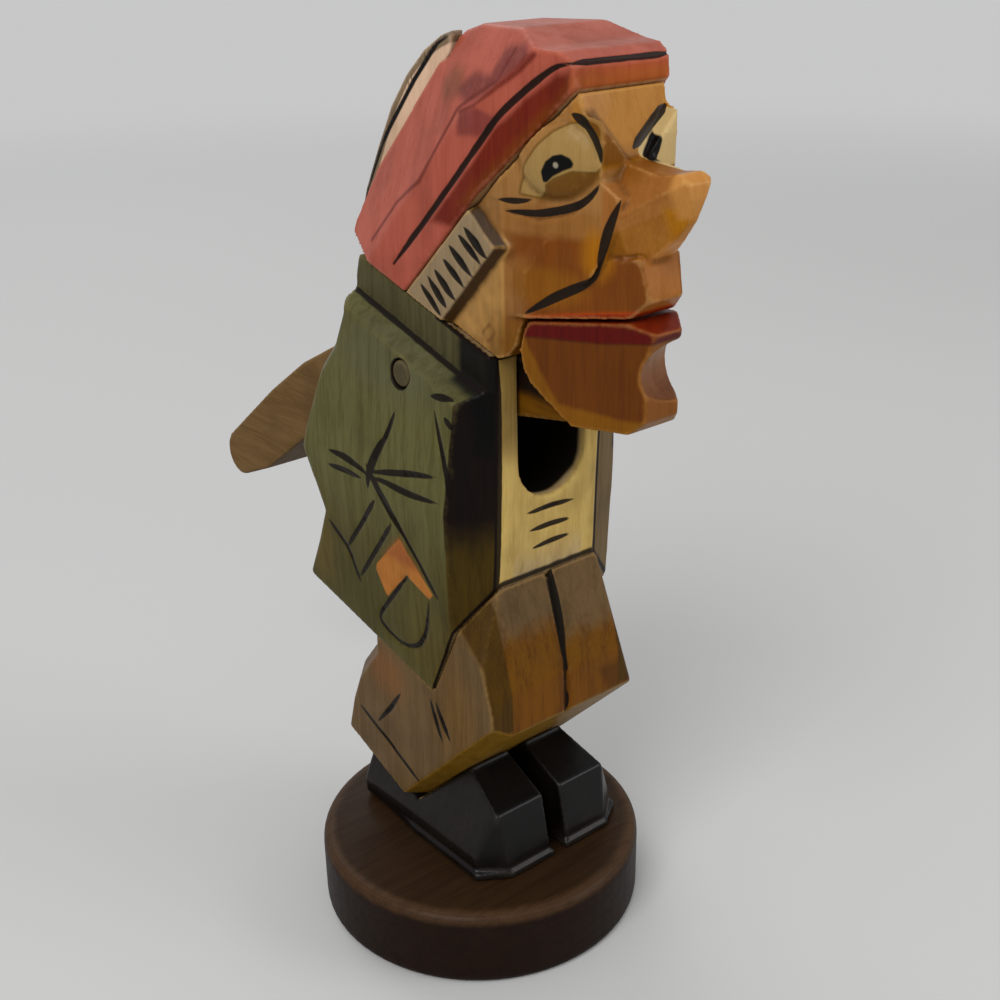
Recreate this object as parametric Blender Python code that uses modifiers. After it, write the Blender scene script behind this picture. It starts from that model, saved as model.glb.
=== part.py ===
"""A carved folk nutcracker: a crouching figure whose lower jaw is worked by a lever through his back.

The pieces are sawn to their side outline from a plank, faceted with straight knife cuts, and pinned or
dowelled together. The figure faces -Y, +Z is up, and the origin is under the middle of the turned plinth.
Outlines are written in the units of the drawing, as (y, z) or (x, y), with z from the top of the plinth.
"""
import math
from dataclasses import dataclass

import bmesh
import bpy
from mathutils import Matrix, Vector

MM = 0.001

# The figure is drawn below in millimetres at DRAWN_HEIGHT, and carved at FIGURE_HEIGHT
FIGURE_HEIGHT = 193.3 * MM
DRAWN_HEIGHT = 193.3
UNIT = FIGURE_HEIGHT / DRAWN_HEIGHT

# Fits
JOINT_GAP = 0.3 * MM
PIVOT_CLEARANCE = 0.3 * MM
SLOT_CLEARANCE = 0.8 * MM
MOUTH_GAP = 0.6 * MM

# Turned plinth
PLINTH_RADIUS = 40 * MM
PLINTH_HEIGHT = 19.3 * MM
PLINTH_SHOULDER = 2.8 * MM
PLINTH_FOOT_RADIUS = 2.0 * MM
FIGURE_OFFSET_X = 5 * MM

# Screws from below, one into each boot
SCREW_SHANK_DIAMETER = 3.6 * MM
SCREW_HEAD_DIAMETER = 7.6 * MM
SCREW_LENGTH = 30 * MM
SCREW_RECESS = 0.5 * MM
SCREW_RIM = 0.4 * MM
SCREW_TIP_LENGTH = 4 * MM
SCREW_TIP_RADIUS = 0.54 * MM
SCREW_SIDE = 12 * UNIT
SCREW_Y = -8 * UNIT

# Dowels
DOWEL_DIAMETER = 8 * MM
DOWEL_LENGTH = 30 * UNIT
DOWEL_CHAMFER = 0.8 * MM
THIN_DOWEL_CHAMFER = 0.4 * MM
BOOT_DOWEL_LENGTH = 14 * UNIT
BOOT_DOWEL_RISE = 4 * UNIT
BOOT_DOWEL_SIDE = 12 * UNIT
BOOT_DOWEL_Y = 12 * UNIT
WAIST_DOWEL_SIDE = 11 * UNIT
WAIST_DOWEL_Y = 10 * UNIT
NECK_DOWEL_DIAMETER = 3 * MM
NECK_DOWEL_LENGTH = 18 * UNIT
NECK_DOWEL_SIDE = 12.6 * UNIT
NECK_DOWEL_Y = -9 * UNIT
CAP_DOWEL_DIAMETER = 6 * MM
CAP_DOWEL_LENGTH = 20 * UNIT
CAP_DOWEL_Y = -15 * UNIT
CHIN_PIN_DIAMETER = 4 * MM
CHIN_PIN_LENGTH = 14 * UNIT
CHIN_PIN_Y = -42.5 * UNIT
CHIN_PIN_Z = 125.5 * UNIT

# Lever pivot and the slot that it swings in
PIVOT_DIAMETER = 6 * MM
PIVOT_Y = 1.5 * UNIT
PIVOT_Z = 121.7 * UNIT
PIVOT_HALF_LENGTH = 22.6 * UNIT
SLOT_WIDTH = 19.2 * UNIT
SLOT_FLOOR_Z = 94.7 * UNIT
SLOT_FALL = 3.5

# V-tool strokes
STROKE_WIDTH = 1.5 * UNIT
STROKE_DEPTH = 0.9 * UNIT
STROKE_LIFT = 0.6 * UNIT
STROKE_END = 0.35
LOCK_WIDTH = 2.0 * UNIT

# Boots
BOOT_INNER = 1.8 * UNIT
BOOT_OUTER = 22.8 * UNIT
SOLE_THICKNESS = 1.8 * UNIT
WELT = 0.8 * UNIT
BOOT_OUTLINE = [(-24.4, 0.9), (-24.2, 4), (-21.6, 16.2), (-9, 22), (-9, 45), (30, 45), (27, 24), (26.4, 0.9)]
TOE_BEVEL_HEIGHT = 5 * UNIT
TOE_BEVEL_SLOPE = (9, 0, 4)
TOE_INNER_WIDTH = 6 * UNIT
TOE_INNER_SLOPE = (1, -1.2, 0.15)
TOE_Y = -24.4 * UNIT
SOLE_OUTLINE = [(0, -25.2), (13.8, -25.2), (21, -20.4), (21, 4.4), (18.8, 27.2), (0, 27.2)]

# Trousers
TROUSERS_HALF_WIDTH = 22.5 * UNIT
TROUSERS_BEVEL = 4 * UNIT
TROUSERS_BEVEL_START = 10 * UNIT
TROUSERS_OUTLINE = [(-20.6, 90), (-20.6, 75.5), (-24.2, 64), (-27.2, 52), (-27.5, 41.3), (5.5, -20),
                    (40, 0), (35, 19.8), (32.3, 29), (28.3, 38), (20.5, 47.6), (20.5, 90)]
HIP_FACET = [(15, -20.8, 74.5), (20, -17.5, 68.8), (21.6, -24, 60.5)]
THIGH_FACET = [(15.2, -20.9, 74.5), (14.3, -25.1, 61.1), (22, -25, 56)]
LEFT_KNEE_FACET = [(22.5, -17.5, 58.2), (22.5, -24.2, 42.5), (15, -21.2, 73.5)]
KNEE_CHAMFER = [(22.5, 5.5, 12.6), (22.5, -20, 38.1), (16.5, 5.5, 8.5)]
FLY_CREASE = [(0, -20.6, 75.5), (0, -24.2, 64)]
FLY_CREASE_LOW = [(0, -27.2, 52), (0, -27.5, 41.3)]
THIGH_SIDE = [(22.5, 0, 0), (22.5, 10, 0), (22.5, 0, 10)]
TROUSER_CREASES = [[(25.5, 27.2), (13.4, 22.1), (3, 17.4)],
                   [(7.5, 39.3), (12.6, 32.4), (18.2, 26.2)],
                   [(-4.4, 43.4), (-6.4, 37.8), (-8.8, 32.9)],
                   [(-6.8, 43.5), (-9, 38.7), (-12, 34.8)]]
FLY_CREASE_DEPTH = 1.8 * UNIT
FLY_CREASE_WIDTH = 2.6 * UNIT

# Torso
COAT_HALF_WIDTH = 25 * UNIT
COLLAR_HALF_WIDTH = 17 * UNIT
COLLAR_HEIGHT = 7.6 * UNIT
LAPEL_FACET = [(14.7, -22.3, 125), (22.7, -18.3, 125), (14.7, -20.1, 76.2)]
SLEEVE_FACET = [(25, 0, 94.2), (22.5, 0, 126.7), (22.5, 50, 126.7)]
SKIRT_FACET = [(25, 0, 94.2), (23, 0, 46), (23, 50, 46)]
SHOULDER_FACET = [(17, -23, 121.3), (22.5, -23, 118.3), (17, 20, 134.3)]
COAT_BACK_CHAMFER = 4.5 * UNIT
COAT_BACK_START = 22 * UNIT
TORSO_OUTLINE = [(-22.3, 145), (-22.3, 100), (-21.4, 84), (-20.3, 75), (-20.3, 30), (45.5, 30),
                 (45.5, 60.5), (40.5, 71), (37, 79.5), (44.8, 94.2), (42.3, 101), (35, 115.5),
                 (28.5, 122.8), (24.5, 131), (24.5, 145)]
SHIRT_FACET = [(0, -22.3, 100), (10, -22.3, 100), (0, -21.4, 84)]
ELBOW_CREASES = [[(2.4, 113.9), (5.2, 108.2), (8.9, 102), (11.8, 97.6)],
                 [(29.5, 97.6), (22, 97.4), (14, 96.2)],
                 [(-12.8, 102.5), (-3.2, 100.2), (9, 97.4)],
                 [(-13.4, 96.7), (-3.4, 95.9), (5.4, 95.7)],
                 [(-10.7, 118), (-13.8, 109), (-18.1, 99.2)]]
SLEEVE_CREASES = [[(9.8, 93.4), (3.5, 87.2), (0.8, 84.7), (-5.2, 78.6), (-11.1, 72.6)],
                  [(10.9, 89.6), (17.4, 81.4), (24, 73.6)],
                  [(4.9, 85.6), (12.1, 76.5), (19.5, 67.2)],
                  [(31, 77.6), (24.4, 72.9), (20, 65.4)],
                  [(29.5, 93), (22.7, 93.2), (17, 92.8)],
                  [(-6.6, 70.6), (0.5, 74), (13.8, 58.4), (10.2, 55.4), (5.5, 54.2), (1.2, 54.6),
                   (-2.6, 57), (-5.5, 61.9), (-7.2, 69.4)]]
SHIRT_CREASES = [[(-7.4, 91.8), (0, 91.9), (7.4, 91.8)],
                 [(-6.2, 87.3), (0, 87.2), (6.2, 87.3)],
                 [(-5.4, 82.8), (0, 82.6), (5.6, 82.9)]]
COLLAR_OUTLINE = [(-22.3, 118), (25, 118), (25, 138), (21.5, 150), (-22.3, 150)]

# Head
CHEEK_HALF_WIDTH = 15.5 * UNIT
TEMPLE = [(15.5, -24), (11.5, -40)]
HEAD_OUTLINE = [(-19, 115), (-20.3, 128.4), (-25.5, 130.3), (-27.8, 133.2), (-28.6, 136.7), (-30, 140),
                (-31.5, 141), (-37.9, 144.6), (-43.9, 148), (-46.6, 152.5), (-49.1, 158.7), (-50.6, 164.6),
                (-46.4, 167.6), (-46.8, 174.4), (-46.6, 181.2), (-43.5, 184.8), (-41.2, 195), (12, 195),
                (12, 115)]
FOREHEAD = [(-45.2, 170.4), (-41.0, 186)]
BROW_RECESS = [(-2.4, 170.4), (2.4, 170.4), (12.3, 181.2), (14, 200), (-14, 200), (-12.3, 181.2)]
BROW_REACH = 20 * UNIT
EYE_CENTRE = (12.2, -37.2, 170.6)
EYE_SIZE = (2.2, 8.6, 7.2)
MUZZLE_OUTLINE = [(-24, 138.7), (-31, 139.4), (-50.9, 141.7), (-54.7, 145.4), (-52.6, 153.5),
                  (-44, 152), (-30, 158), (-24, 158)]
MUZZLE_HALF_WIDTH = 15.2 * UNIT
MUZZLE_TOP_FACET = [(15.3, -20, 150), (15.3, -44, 146), (12.6, -34, 158)]
NOSE_OUTLINE = [(-36, 173.5), (-41, 171.8), (-44.2, 170.6), (-54.8, 169), (-60.1, 169.8), (-62.1, 168.2),
                (-62.1, 165.3), (-60.7, 160.9), (-57.2, 156.7), (-53.4, 153), (-46, 151.2), (-36, 151.2)]
NOSE_HALF_WIDTH = 10 * UNIT
NOSE_TOP_FACET = [(3.5, -42, 171.5), (3.0, -60.8, 169.6), (8.9, -49.6, 161)]
NOSE_SIDE_FACET = [(8.9, -49.6, 161), (3.0, -61.4, 167.2), (2.7, -54.6, 154.4)]
SIDEBURN_HALF_WIDTH = 17.5 * UNIT
SIDEBURN_BEVEL = 2.2 * UNIT
SIDEBURN_OUTLINE = [(8, 122), (-3.7, 128.4), (-27.5, 153), (-19.2, 159.5), (-12, 165), (12, 144)]

EYE_BAG = [[(-24.6, 159.8), (-33.2, 159.2), (-40.5, 161.2), (-46.2, 166.6)]]
SIDEBURN_FACET = [(17.5, 0, 0), (17.5, 10, 0), (17.5, 0, 10)]
SIDEBURN_LOCKS = [(-3.5, 138.1), (-5.8, 140.3), (-8.5, 142.3), (-11.8, 145.1), (-14.2, 148.1),
                  (-17.2, 150.9), (-19.2, 152.8)]
LOCK_REACH = (3.4, 2.8)

# Cap
CAP_HALF_WIDTH = 17.9 * UNIT
CAP_OUTLINE = [(0, 115), (32.5, 115), (32.5, 144), (31.5, 148.5), (20.8, 167), (9, 178.8), (0.8, 186.6),
               (-5.2, 191.4), (-11, 193), (-26, 193.3), (-33.4, 190.4), (-38.6, 190), (-41.8, 188.2),
               (-42.2, 183.3), (-42.2, 170), (0, 130)]
CROWN_FACETS = [[(17.9, 15.5, 145.4), (17.9, -4.5, 166), (10, 23.5, 161.5)],
                [(17.9, -4.5, 166), (17.9, -16.3, 177.4), (10, 9, 178.8)],
                [(17.9, -16.3, 177.4), (15.5, -28.8, 186.3), (10, -14, 190.5)]]
FEATHER_THICKNESS = 3 * UNIT
FEATHER_MIDDLE = -8 * UNIT
FEATHER_OUTLINE = [(33.6, 145.8), (30, 155.4), (24.4, 165.6), (19, 174.6), (13, 181.6), (6.6, 187),
                   (0.8, 190.2), (-3.2, 191.4), (-2, 187), (4, 180), (11, 172), (19, 162), (26.5, 151.5),
                   (30.8, 146.2)]

# Jaw lever
LEVER_OUTLINE_TOP = [(106.7, 74.4), (95.9, 82.9), (81.3, 94.3), (64.3, 106), (48.1, 114.5), (36, 119.4),
                     (20, 125.5), (5, 130), (-15, 129), (-24, 127.6), (-31, 131), (-38, 131)]
LEVER_OUTLINE_BOTTOM = [(-38, 117.9), (-21.5, 114.8), (1.5, 111.7), (20, 108), (43, 98.5), (68, 83.3),
                        (87.3, 69.6)]
HANDLE_END_CENTRE = (102.3, 69.8)
HANDLE_END_RADIUS = 6.2
HANDLE_BEVEL = 1.4 * UNIT
TENON_HALF_WIDTH = 5.5 * UNIT
TENON_OUTLINE = [(-34, 121), (-47, 121), (-47, 130), (-34, 130)]
MORTISE_OUTLINE = [(-30, 120.7), (-47.3, 120.7), (-47.3, 130.3), (-30, 130.3)]
HANDLE_START = 45 * UNIT

# Chin block, with the lower lip
CHIN_OUTLINE = [(-30.9, 138.7), (-29.9, 136.1), (-29.1, 132.7), (-29.8, 128.9), (-31.5, 125.8), (-37.2, 120.6),
                (-40, 118.3), (-51.5, 118.5), (-54.3, 121.2), (-54.6, 136.2), (-55.8, 139), (-51, 141)]
CHIN_GOUGE_RADIUS = 6.5 * UNIT
CHIN_GOUGE_CENTRE = (0, -58, 130.5)
CHIN_GOUGE_TURN = 26
CHIN_HALF_WIDTH = 15.2 * UNIT
LEVER_SEAT_OUTLINE = [(-38.3, 100), (0, 100), (0, 131.3), (-38.3, 131.3)]
MUZZLE_FACET = [(15.2, -31), (4.5, -54.6)]
CHIN_FACETS = [[(15.2, -29), (6.8, -51.4)], [(6.8, -51.4), (4.5, -54.4)]]
CAP_FRONT_FACET = [(17.9, -19.3), (12.3, -41.7)]

ROUND_STEPS = 24
PLINTH_STEPS = 72
OVERSHOOT = 120 * UNIT


@dataclass(frozen=True)
class Seam:
    """A flat joint seen from the side: it passes through (y, z) and rises backwards by angle."""
    y: float
    z: float
    angle: float

    def normal(self):
        slope = math.radians(self.angle)
        return Vector((0, -math.sin(slope), math.cos(slope)))

    def point(self, offset=0.0):
        return Vector((0, self.y * UNIT, self.z * UNIT)) + self.normal() * offset

    def height(self, y):
        """Height in metres of the seam at y metres."""
        return self.z * UNIT + (y - self.y * UNIT) * math.tan(math.radians(self.angle))


COLLAR_SEAM = Seam(-23, 129.2, 16.8)
CAP_SEAM = Seam(5.4, 138.2, -43.7)
WAIST_FRONT_SEAM = Seam(-6, 46.2, -63.8)
WAIST_BACK_SEAM = Seam(-6, 46.2, 14)
SHIN_SEAM = Seam(5.5, 8.5, -45)
HEM_SEAM = Seam(5.5, 8.5, 21)

PARTS = None
TOOLS = None


def clear_scene():
    for obj in list(bpy.data.objects):
        bpy.data.objects.remove(obj, do_unlink=True)


def new_collection(name):
    collection = bpy.data.collections.new(name)
    bpy.context.scene.collection.children.link(collection)
    return collection


def finish(name, colour, roughness, metallic=0.0):
    """A plain finish of one colour."""
    material = bpy.data.materials.new(name)
    material.use_nodes = True
    shader = material.node_tree.nodes["Principled BSDF"]
    shader.inputs["Base Color"].default_value = (*colour, 1)
    shader.inputs["Roughness"].default_value = roughness
    shader.inputs["Metallic"].default_value = metallic
    return material


def add_object(name, mesh, collection, parent):
    obj = bpy.data.objects.new(name, mesh)
    collection.objects.link(obj)
    obj.parent = parent
    return obj


def as_part(obj, material):
    obj.data.materials.clear()
    obj.data.materials.append(material)
    return obj


def as_tool(obj):
    """Moves a block that only cuts or joins into the collection of helpers."""
    for collection in list(obj.users_collection):
        collection.objects.unlink(obj)
    TOOLS.objects.link(obj)
    obj.hide_render = True
    obj.display_type = "WIRE"
    return obj


def flat_mesh(name, outline, half_thickness):
    """The closed mesh of a flat outline, extruded both ways along its own Z."""
    curve = bpy.data.curves.new(name, "CURVE")
    curve.dimensions = "2D"
    curve.fill_mode = "BOTH"
    curve.extrude = half_thickness
    spline = curve.splines.new("POLY")
    spline.points.add(len(outline) - 1)
    for point, (across, up) in zip(spline.points, outline):
        point.co = (across * UNIT, up * UNIT, 0, 1)
    spline.use_cyclic_u = True
    holder = bpy.data.objects.new(name, curve)
    bpy.context.scene.collection.objects.link(holder)
    graph = bpy.context.evaluated_depsgraph_get()
    mesh = bpy.data.meshes.new_from_object(holder.evaluated_get(graph))
    bpy.data.objects.remove(holder, do_unlink=True)
    bpy.data.curves.remove(curve)
    body = bmesh.new()
    body.from_mesh(mesh)
    bmesh.ops.remove_doubles(body, verts=body.verts, dist=1e-6)
    bmesh.ops.dissolve_limit(body, angle_limit=0.001, verts=body.verts, edges=body.edges)
    bmesh.ops.recalc_face_normals(body, faces=body.faces)
    body.to_mesh(mesh)
    body.free()
    mesh.name = name
    return mesh


def sawn_block(name, outline, half_width, parent, bevel=0.0, bevelled=None):
    """A plank sawn to its side outline, with the arrises that bevelled picks by (y, z) taken off."""
    mesh = flat_mesh(name, outline, half_width)
    side_view = Matrix(((0, 0, 1, 0), (1, 0, 0, 0), (0, 1, 0, 0), (0, 0, 0, 1)))
    mesh.transform(side_view)
    mesh.shade_flat()
    if bevel:
        body = bmesh.new()
        body.from_mesh(mesh)
        arrises = [edge for edge in body.edges
                   if abs(edge.verts[0].co.x - edge.verts[1].co.x) < 1e-6
                   and (bevelled is None or all(bevelled(v.co.y, v.co.z) for v in edge.verts))]
        bmesh.ops.bevel(body, geom=arrises, offset=bevel, offset_type="OFFSET", segments=1, profile=0.5,
                        affect="EDGES", clamp_overlap=True)
        body.to_mesh(mesh)
        body.free()
    return add_object(name, mesh, PARTS, parent)


def front_block(name, outline, start_y, depth, parent):
    """A block sawn to its (x, z) outline as seen from the front, from start_y backwards."""
    mesh = flat_mesh(name, outline, depth / 2)
    front_view = Matrix(((1, 0, 0, 0), (0, 0, -1, start_y + depth / 2), (0, 1, 0, 0), (0, 0, 0, 1)))
    mesh.transform(front_view)
    mesh.shade_flat()
    return add_object(name, mesh, PARTS, parent)


def knife(obj, point, normal):
    """Cuts off what lies on the side that the normal points to, and closes the cut."""
    body = bmesh.new()
    body.from_mesh(obj.data)
    bmesh.ops.bisect_plane(body, geom=body.verts[:] + body.edges[:] + body.faces[:], dist=1e-7,
                           plane_co=Vector(point), plane_no=Vector(normal).normalized(), clear_outer=True)
    rim = [edge for edge in body.edges if edge.is_boundary]
    if rim:
        bmesh.ops.holes_fill(body, edges=rim, sides=0)
    bmesh.ops.recalc_face_normals(body, faces=body.faces)
    body.to_mesh(obj.data)
    body.free()


def knife_both_sides(obj, points):
    """Cuts a facet through three points on the figure's left, and its mirror image on the right."""
    for side, sign in sides():
        knife_side(obj, points, sign)


def knife_side(obj, points, sign):
    """Cuts the facet on one side only. The facet faces away from the middle of the figure."""
    first, second, third = (Vector(point) * UNIT for point in points)
    normal = (second - first).cross(third - first).normalized()
    if normal.x < 0:
        normal.negate()
    normal.x *= sign
    first.x *= sign
    knife(obj, first, normal)


def upright_facet(obj, start, end):
    """Cuts a vertical facet on both sides through the plan points start and end."""
    knife_both_sides(obj, [(*start, 0), (*end, 0), (*end, 100)])


def modify(obj, tool, operation):
    modifier = obj.modifiers.new(operation.title() + " " + tool.name, "BOOLEAN")
    modifier.operation = operation
    modifier.solver = "EXACT"
    modifier.object = tool
    return modifier


def join(obj, tool):
    modify(obj, as_tool(tool), "UNION")


def cut(obj, tool):
    modify(obj, as_tool(tool), "DIFFERENCE")


def bake(obj):
    """Turns the result of the modifiers into the object's own mesh, so that the knife can go over it."""
    graph = bpy.context.evaluated_depsgraph_get()
    mesh = bpy.data.meshes.new_from_object(obj.evaluated_get(graph))
    obj.modifiers.clear()
    body = bmesh.new()
    body.from_mesh(mesh)
    bmesh.ops.remove_doubles(body, verts=body.verts, dist=2e-6)
    bmesh.ops.dissolve_limit(body, angle_limit=0.002, verts=body.verts, edges=body.edges)
    body.to_mesh(mesh)
    body.free()
    obj.data = mesh


def keep_above(obj, seam, gap=JOINT_GAP / 2):
    knife(obj, seam.point(gap), -seam.normal())


def keep_below(obj, seam, gap=JOINT_GAP / 2):
    knife(obj, seam.point(-gap), seam.normal())


def notch(name, front, back, parent):
    """A wedge that fills the space above two seams that meet at their common lowest point."""
    tip = front.point(-JOINT_GAP / 2 / math.cos(math.radians((back.angle - front.angle) / 2)))
    tip_y, tip_z = front.y, (tip.z / UNIT)
    reach = OVERSHOOT / UNIT
    front_end = (tip_y - reach * math.cos(math.radians(front.angle)),
                 tip_z - reach * math.sin(math.radians(front.angle)))
    back_end = (tip_y + reach * math.cos(math.radians(back.angle)),
                tip_z + reach * math.sin(math.radians(back.angle)))
    return sawn_block(name, [(tip_y, tip_z), back_end, front_end], OVERSHOOT / 2, parent)


def turned_mesh(name, profile, steps=ROUND_STEPS):
    """A solid of revolution about Z from (radius, height) points that run down the outer side."""
    mesh = bpy.data.meshes.new(name)
    points = [(radius, 0, height) for radius, height in profile]
    mesh.from_pydata(points, [(i, i + 1) for i in range(len(points) - 1)], [])
    holder = bpy.data.objects.new(name, mesh)
    bpy.context.scene.collection.objects.link(holder)
    screw = holder.modifiers.new("Turn", "SCREW")
    screw.steps = steps
    screw.render_steps = steps
    screw.use_merge_vertices = True
    screw.merge_threshold = 1e-6
    graph = bpy.context.evaluated_depsgraph_get()
    turned = bpy.data.meshes.new_from_object(holder.evaluated_get(graph))
    bpy.data.objects.remove(holder, do_unlink=True)
    turned.name = name
    return turned


def arc(centre, radius, start, end, steps):
    """Points on an arc, from the start angle to the end angle in degrees."""
    angles = [math.radians(start + (end - start) * i / steps) for i in range(steps + 1)]
    return [(centre[0] + radius * math.cos(a), centre[1] + radius * math.sin(a)) for a in angles]


def dowel_profile(radius, length, chamfer=0.0):
    half = length / 2
    return [(0, half), (radius - chamfer, half), (radius, half - chamfer), (radius, chamfer - half),
            (radius - chamfer, -half), (0, -half)]


def plain_profile(radius, length):
    half = length / 2
    return [(0, half), (radius, half), (radius, -half), (0, -half)]


def place_along(obj, centre, direction):
    obj.location = centre
    obj.rotation_euler = Vector(direction).to_track_quat("Z", "Y").to_euler()


def dowel(name, diameter, length, centre, direction, parent, chamfer=DOWEL_CHAMFER):
    mesh = turned_mesh(name, dowel_profile(diameter / 2, length, chamfer))
    obj = add_object(name, mesh, PARTS, parent)
    place_along(obj, centre, direction)
    smooth(obj)
    return obj


def drill(obj, diameter, length, centre, direction, parent, gap=JOINT_GAP):
    """Drills a hole for a dowel, wider by gap all round and longer by gap at each end."""
    name = "bore in " + obj.name
    mesh = turned_mesh(name, plain_profile(diameter / 2 + gap, length + 2 * gap))
    tool = add_object(name, mesh, TOOLS, parent)
    place_along(tool, centre, direction)
    cut(obj, tool)


def smooth(obj, angle=35):
    obj.data.shade_smooth()
    obj.data.set_sharp_from_angle(angle=math.radians(angle))


def hang(obj, pivot):
    """Hangs a piece that lies in the figure's frame on the pivot, and leaves it where it is."""
    obj.parent = pivot
    if obj.location.length:
        obj.location -= pivot.location
    else:
        obj.data.transform(Matrix.Translation(-pivot.location))


def screw_profile(radius, head_radius, length, grow=0.0):
    """A countersunk wood screw that points up, its flat head at height zero."""
    head = head_radius - radius
    return [(0, length + grow), (SCREW_TIP_RADIUS + grow, length + grow),
            (radius + grow, length - SCREW_TIP_LENGTH), (radius + grow, head),
            (head_radius + grow, SCREW_RIM), (head_radius + grow, -grow), (0, -grow)]


def sides():
    """The figure's right, then its left, as a name and a sign along X."""
    return (("right", -1), ("left", 1))


def make_plinth(material):
    foot = arc((PLINTH_RADIUS - PLINTH_FOOT_RADIUS, PLINTH_FOOT_RADIUS), PLINTH_FOOT_RADIUS, 0, -90, 4)
    shoulder = arc((PLINTH_RADIUS - PLINTH_SHOULDER, PLINTH_HEIGHT - PLINTH_SHOULDER), PLINTH_SHOULDER,
                   90, 0, 4)
    profile = [(0, PLINTH_HEIGHT)] + shoulder + foot + [(0, 0)]
    mesh = turned_mesh("base_plinth", profile, PLINTH_STEPS)
    plinth = as_part(add_object("base_plinth", mesh, PARTS, None), material)
    smooth(plinth)
    return plinth


def make_base_screws(plinth, boots):
    radius = SCREW_SHANK_DIAMETER / 2
    head = SCREW_HEAD_DIAMETER / 2
    recess = SCREW_RECESS
    for (side, sign), boot in zip(sides(), boots):
        place = Vector((FIGURE_OFFSET_X + sign * SCREW_SIDE, SCREW_Y, recess))
        mesh = turned_mesh("screw", screw_profile(radius, head, SCREW_LENGTH))
        steel = finish("screw steel " + side, (0.55, 0.50, 0.38), 0.35, 1.0)
        screw = as_part(add_object("base_screw_" + side, mesh, PARTS, None), steel)
        screw.location = place
        smooth(screw)
        for part in (plinth, boot):
            bore_mesh = turned_mesh("screw hole", screw_profile(radius, head, SCREW_LENGTH, JOINT_GAP))
            bore = add_object("screw hole in " + part.name, bore_mesh, TOOLS, None)
            bore.location = place
            cut(part, bore)
        mouth_mesh = turned_mesh("screw mouth", plain_profile(head + JOINT_GAP, 2 * recess))
        mouth = add_object("screw mouth " + side, mouth_mesh, TOOLS, None)
        mouth.location = (place.x, place.y, 0)
        cut(plinth, mouth)


def make_boot(side, sign, figure, material):
    inner, outer = BOOT_INNER, BOOT_OUTER
    middle = (inner + outer) / 2
    half = (outer - inner) / 2
    boot = sawn_block("boot_" + side, BOOT_OUTLINE, half - WELT, figure)
    knife(boot, (half - WELT, 0, TOE_BEVEL_HEIGHT), TOE_BEVEL_SLOPE)
    knife(boot, (half - WELT - TOE_INNER_WIDTH, TOE_Y, 0), TOE_INNER_SLOPE)
    boot.data.transform(Matrix.Translation((middle, 0, 0)))
    sole_mesh = flat_mesh("sole", SOLE_OUTLINE, SOLE_THICKNESS / 2)
    sole_mesh.transform(Matrix.Translation((inner, 0, SOLE_THICKNESS / 2)))
    sole = add_object("sole " + side, sole_mesh, TOOLS, figure)
    if sign < 0:
        for mesh in (boot.data, sole.data):
            mesh.transform(Matrix.Scale(-1, 4, (1, 0, 0)))
            mesh.flip_normals()
    join(boot, sole)
    cut(boot, notch("hem space " + side, SHIN_SEAM, HEM_SEAM, figure))
    return as_part(boot, material)


def make_trousers(figure, material):
    trousers = sawn_block("trousers", TROUSERS_OUTLINE, TROUSERS_HALF_WIDTH, figure, TROUSERS_BEVEL,
                          lambda y, z: y > TROUSERS_BEVEL_START)
    keep_above(trousers, SHIN_SEAM)
    keep_above(trousers, HEM_SEAM)
    knife_both_sides(trousers, HIP_FACET)
    knife_both_sides(trousers, THIGH_FACET)
    knife_side(trousers, LEFT_KNEE_FACET, 1)
    knife_side(trousers, KNEE_CHAMFER, -1)
    cut(trousers, notch("waist space", WAIST_FRONT_SEAM, WAIST_BACK_SEAM, figure))
    for side, sign in sides():
        cut(trousers, v_tool("hem creases " + side, THIGH_SIDE, TROUSER_CREASES, figure, sign))
    cut(trousers, crease("fly crease", *FLY_CREASE, figure))
    cut(trousers, crease("fly crease low", *FLY_CREASE_LOW, figure))
    return as_part(trousers, material)


def crease(name, top, bottom, parent):
    """A V-shaped knife cut from top to bottom in the figure's front."""
    width, depth = FLY_CREASE_WIDTH / UNIT / 2, FLY_CREASE_DEPTH / UNIT
    mesh = flat_mesh(name, [(-width, -1), (width, -1), (0, depth)], OVERSHOOT / 4)
    tool = add_object(name, mesh, TOOLS, parent)
    start, end = Vector(top) * UNIT, Vector(bottom) * UNIT
    axis = (start - end).normalized()
    across = Vector((1, 0, 0))
    inward = axis.cross(across)
    if inward.y < 0:
        inward.negate()
        across.negate()
    frame = Matrix((across, inward, across.cross(inward))).transposed().to_4x4()
    tool.data.transform(Matrix.Translation((start + end) / 2) @ frame)
    return tool


def v_tool(name, facet, strokes, parent, sign=1, width=STROKE_WIDTH, depth=STROKE_DEPTH):
    """The bodies that a V-tool would take out of a facet, as one cutter.

    The facet is three points on the figure's left, and a stroke is a line of points that are dropped
    onto it: (y, z) on a side facet, (x, z) on one that faces forward.
    """
    first, second, third = (Vector(point) * UNIT for point in facet)
    outward = (second - first).cross(third - first).normalized()
    from_side = abs(outward.x) > abs(outward.y)
    if (from_side and outward.x < 0) or (not from_side and outward.y > 0):
        outward.negate()
    body = bmesh.new()
    for stroke in strokes:
        add_stroke(body, [on_facet(first, outward, from_side, point) for point in stroke], outward,
                   width, depth)
    mesh = bpy.data.meshes.new(name)
    body.to_mesh(mesh)
    body.free()
    if sign < 0:
        mesh.transform(Matrix.Scale(-1, 4, (1, 0, 0)))
        mesh.flip_normals()
    return add_object(name, mesh, PARTS, parent)


def on_facet(origin, outward, from_side, point):
    """Drops (y, z) along X, or (x, z) along Y, onto a facet."""
    across, up = point[0] * UNIT, point[1] * UNIT
    spot = Vector((0, across, up)) if from_side else Vector((across, 0, up))
    ray = Vector((1, 0, 0)) if from_side else Vector((0, 1, 0))
    return spot + ray * ((origin - spot).dot(outward) / ray.dot(outward))


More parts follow.
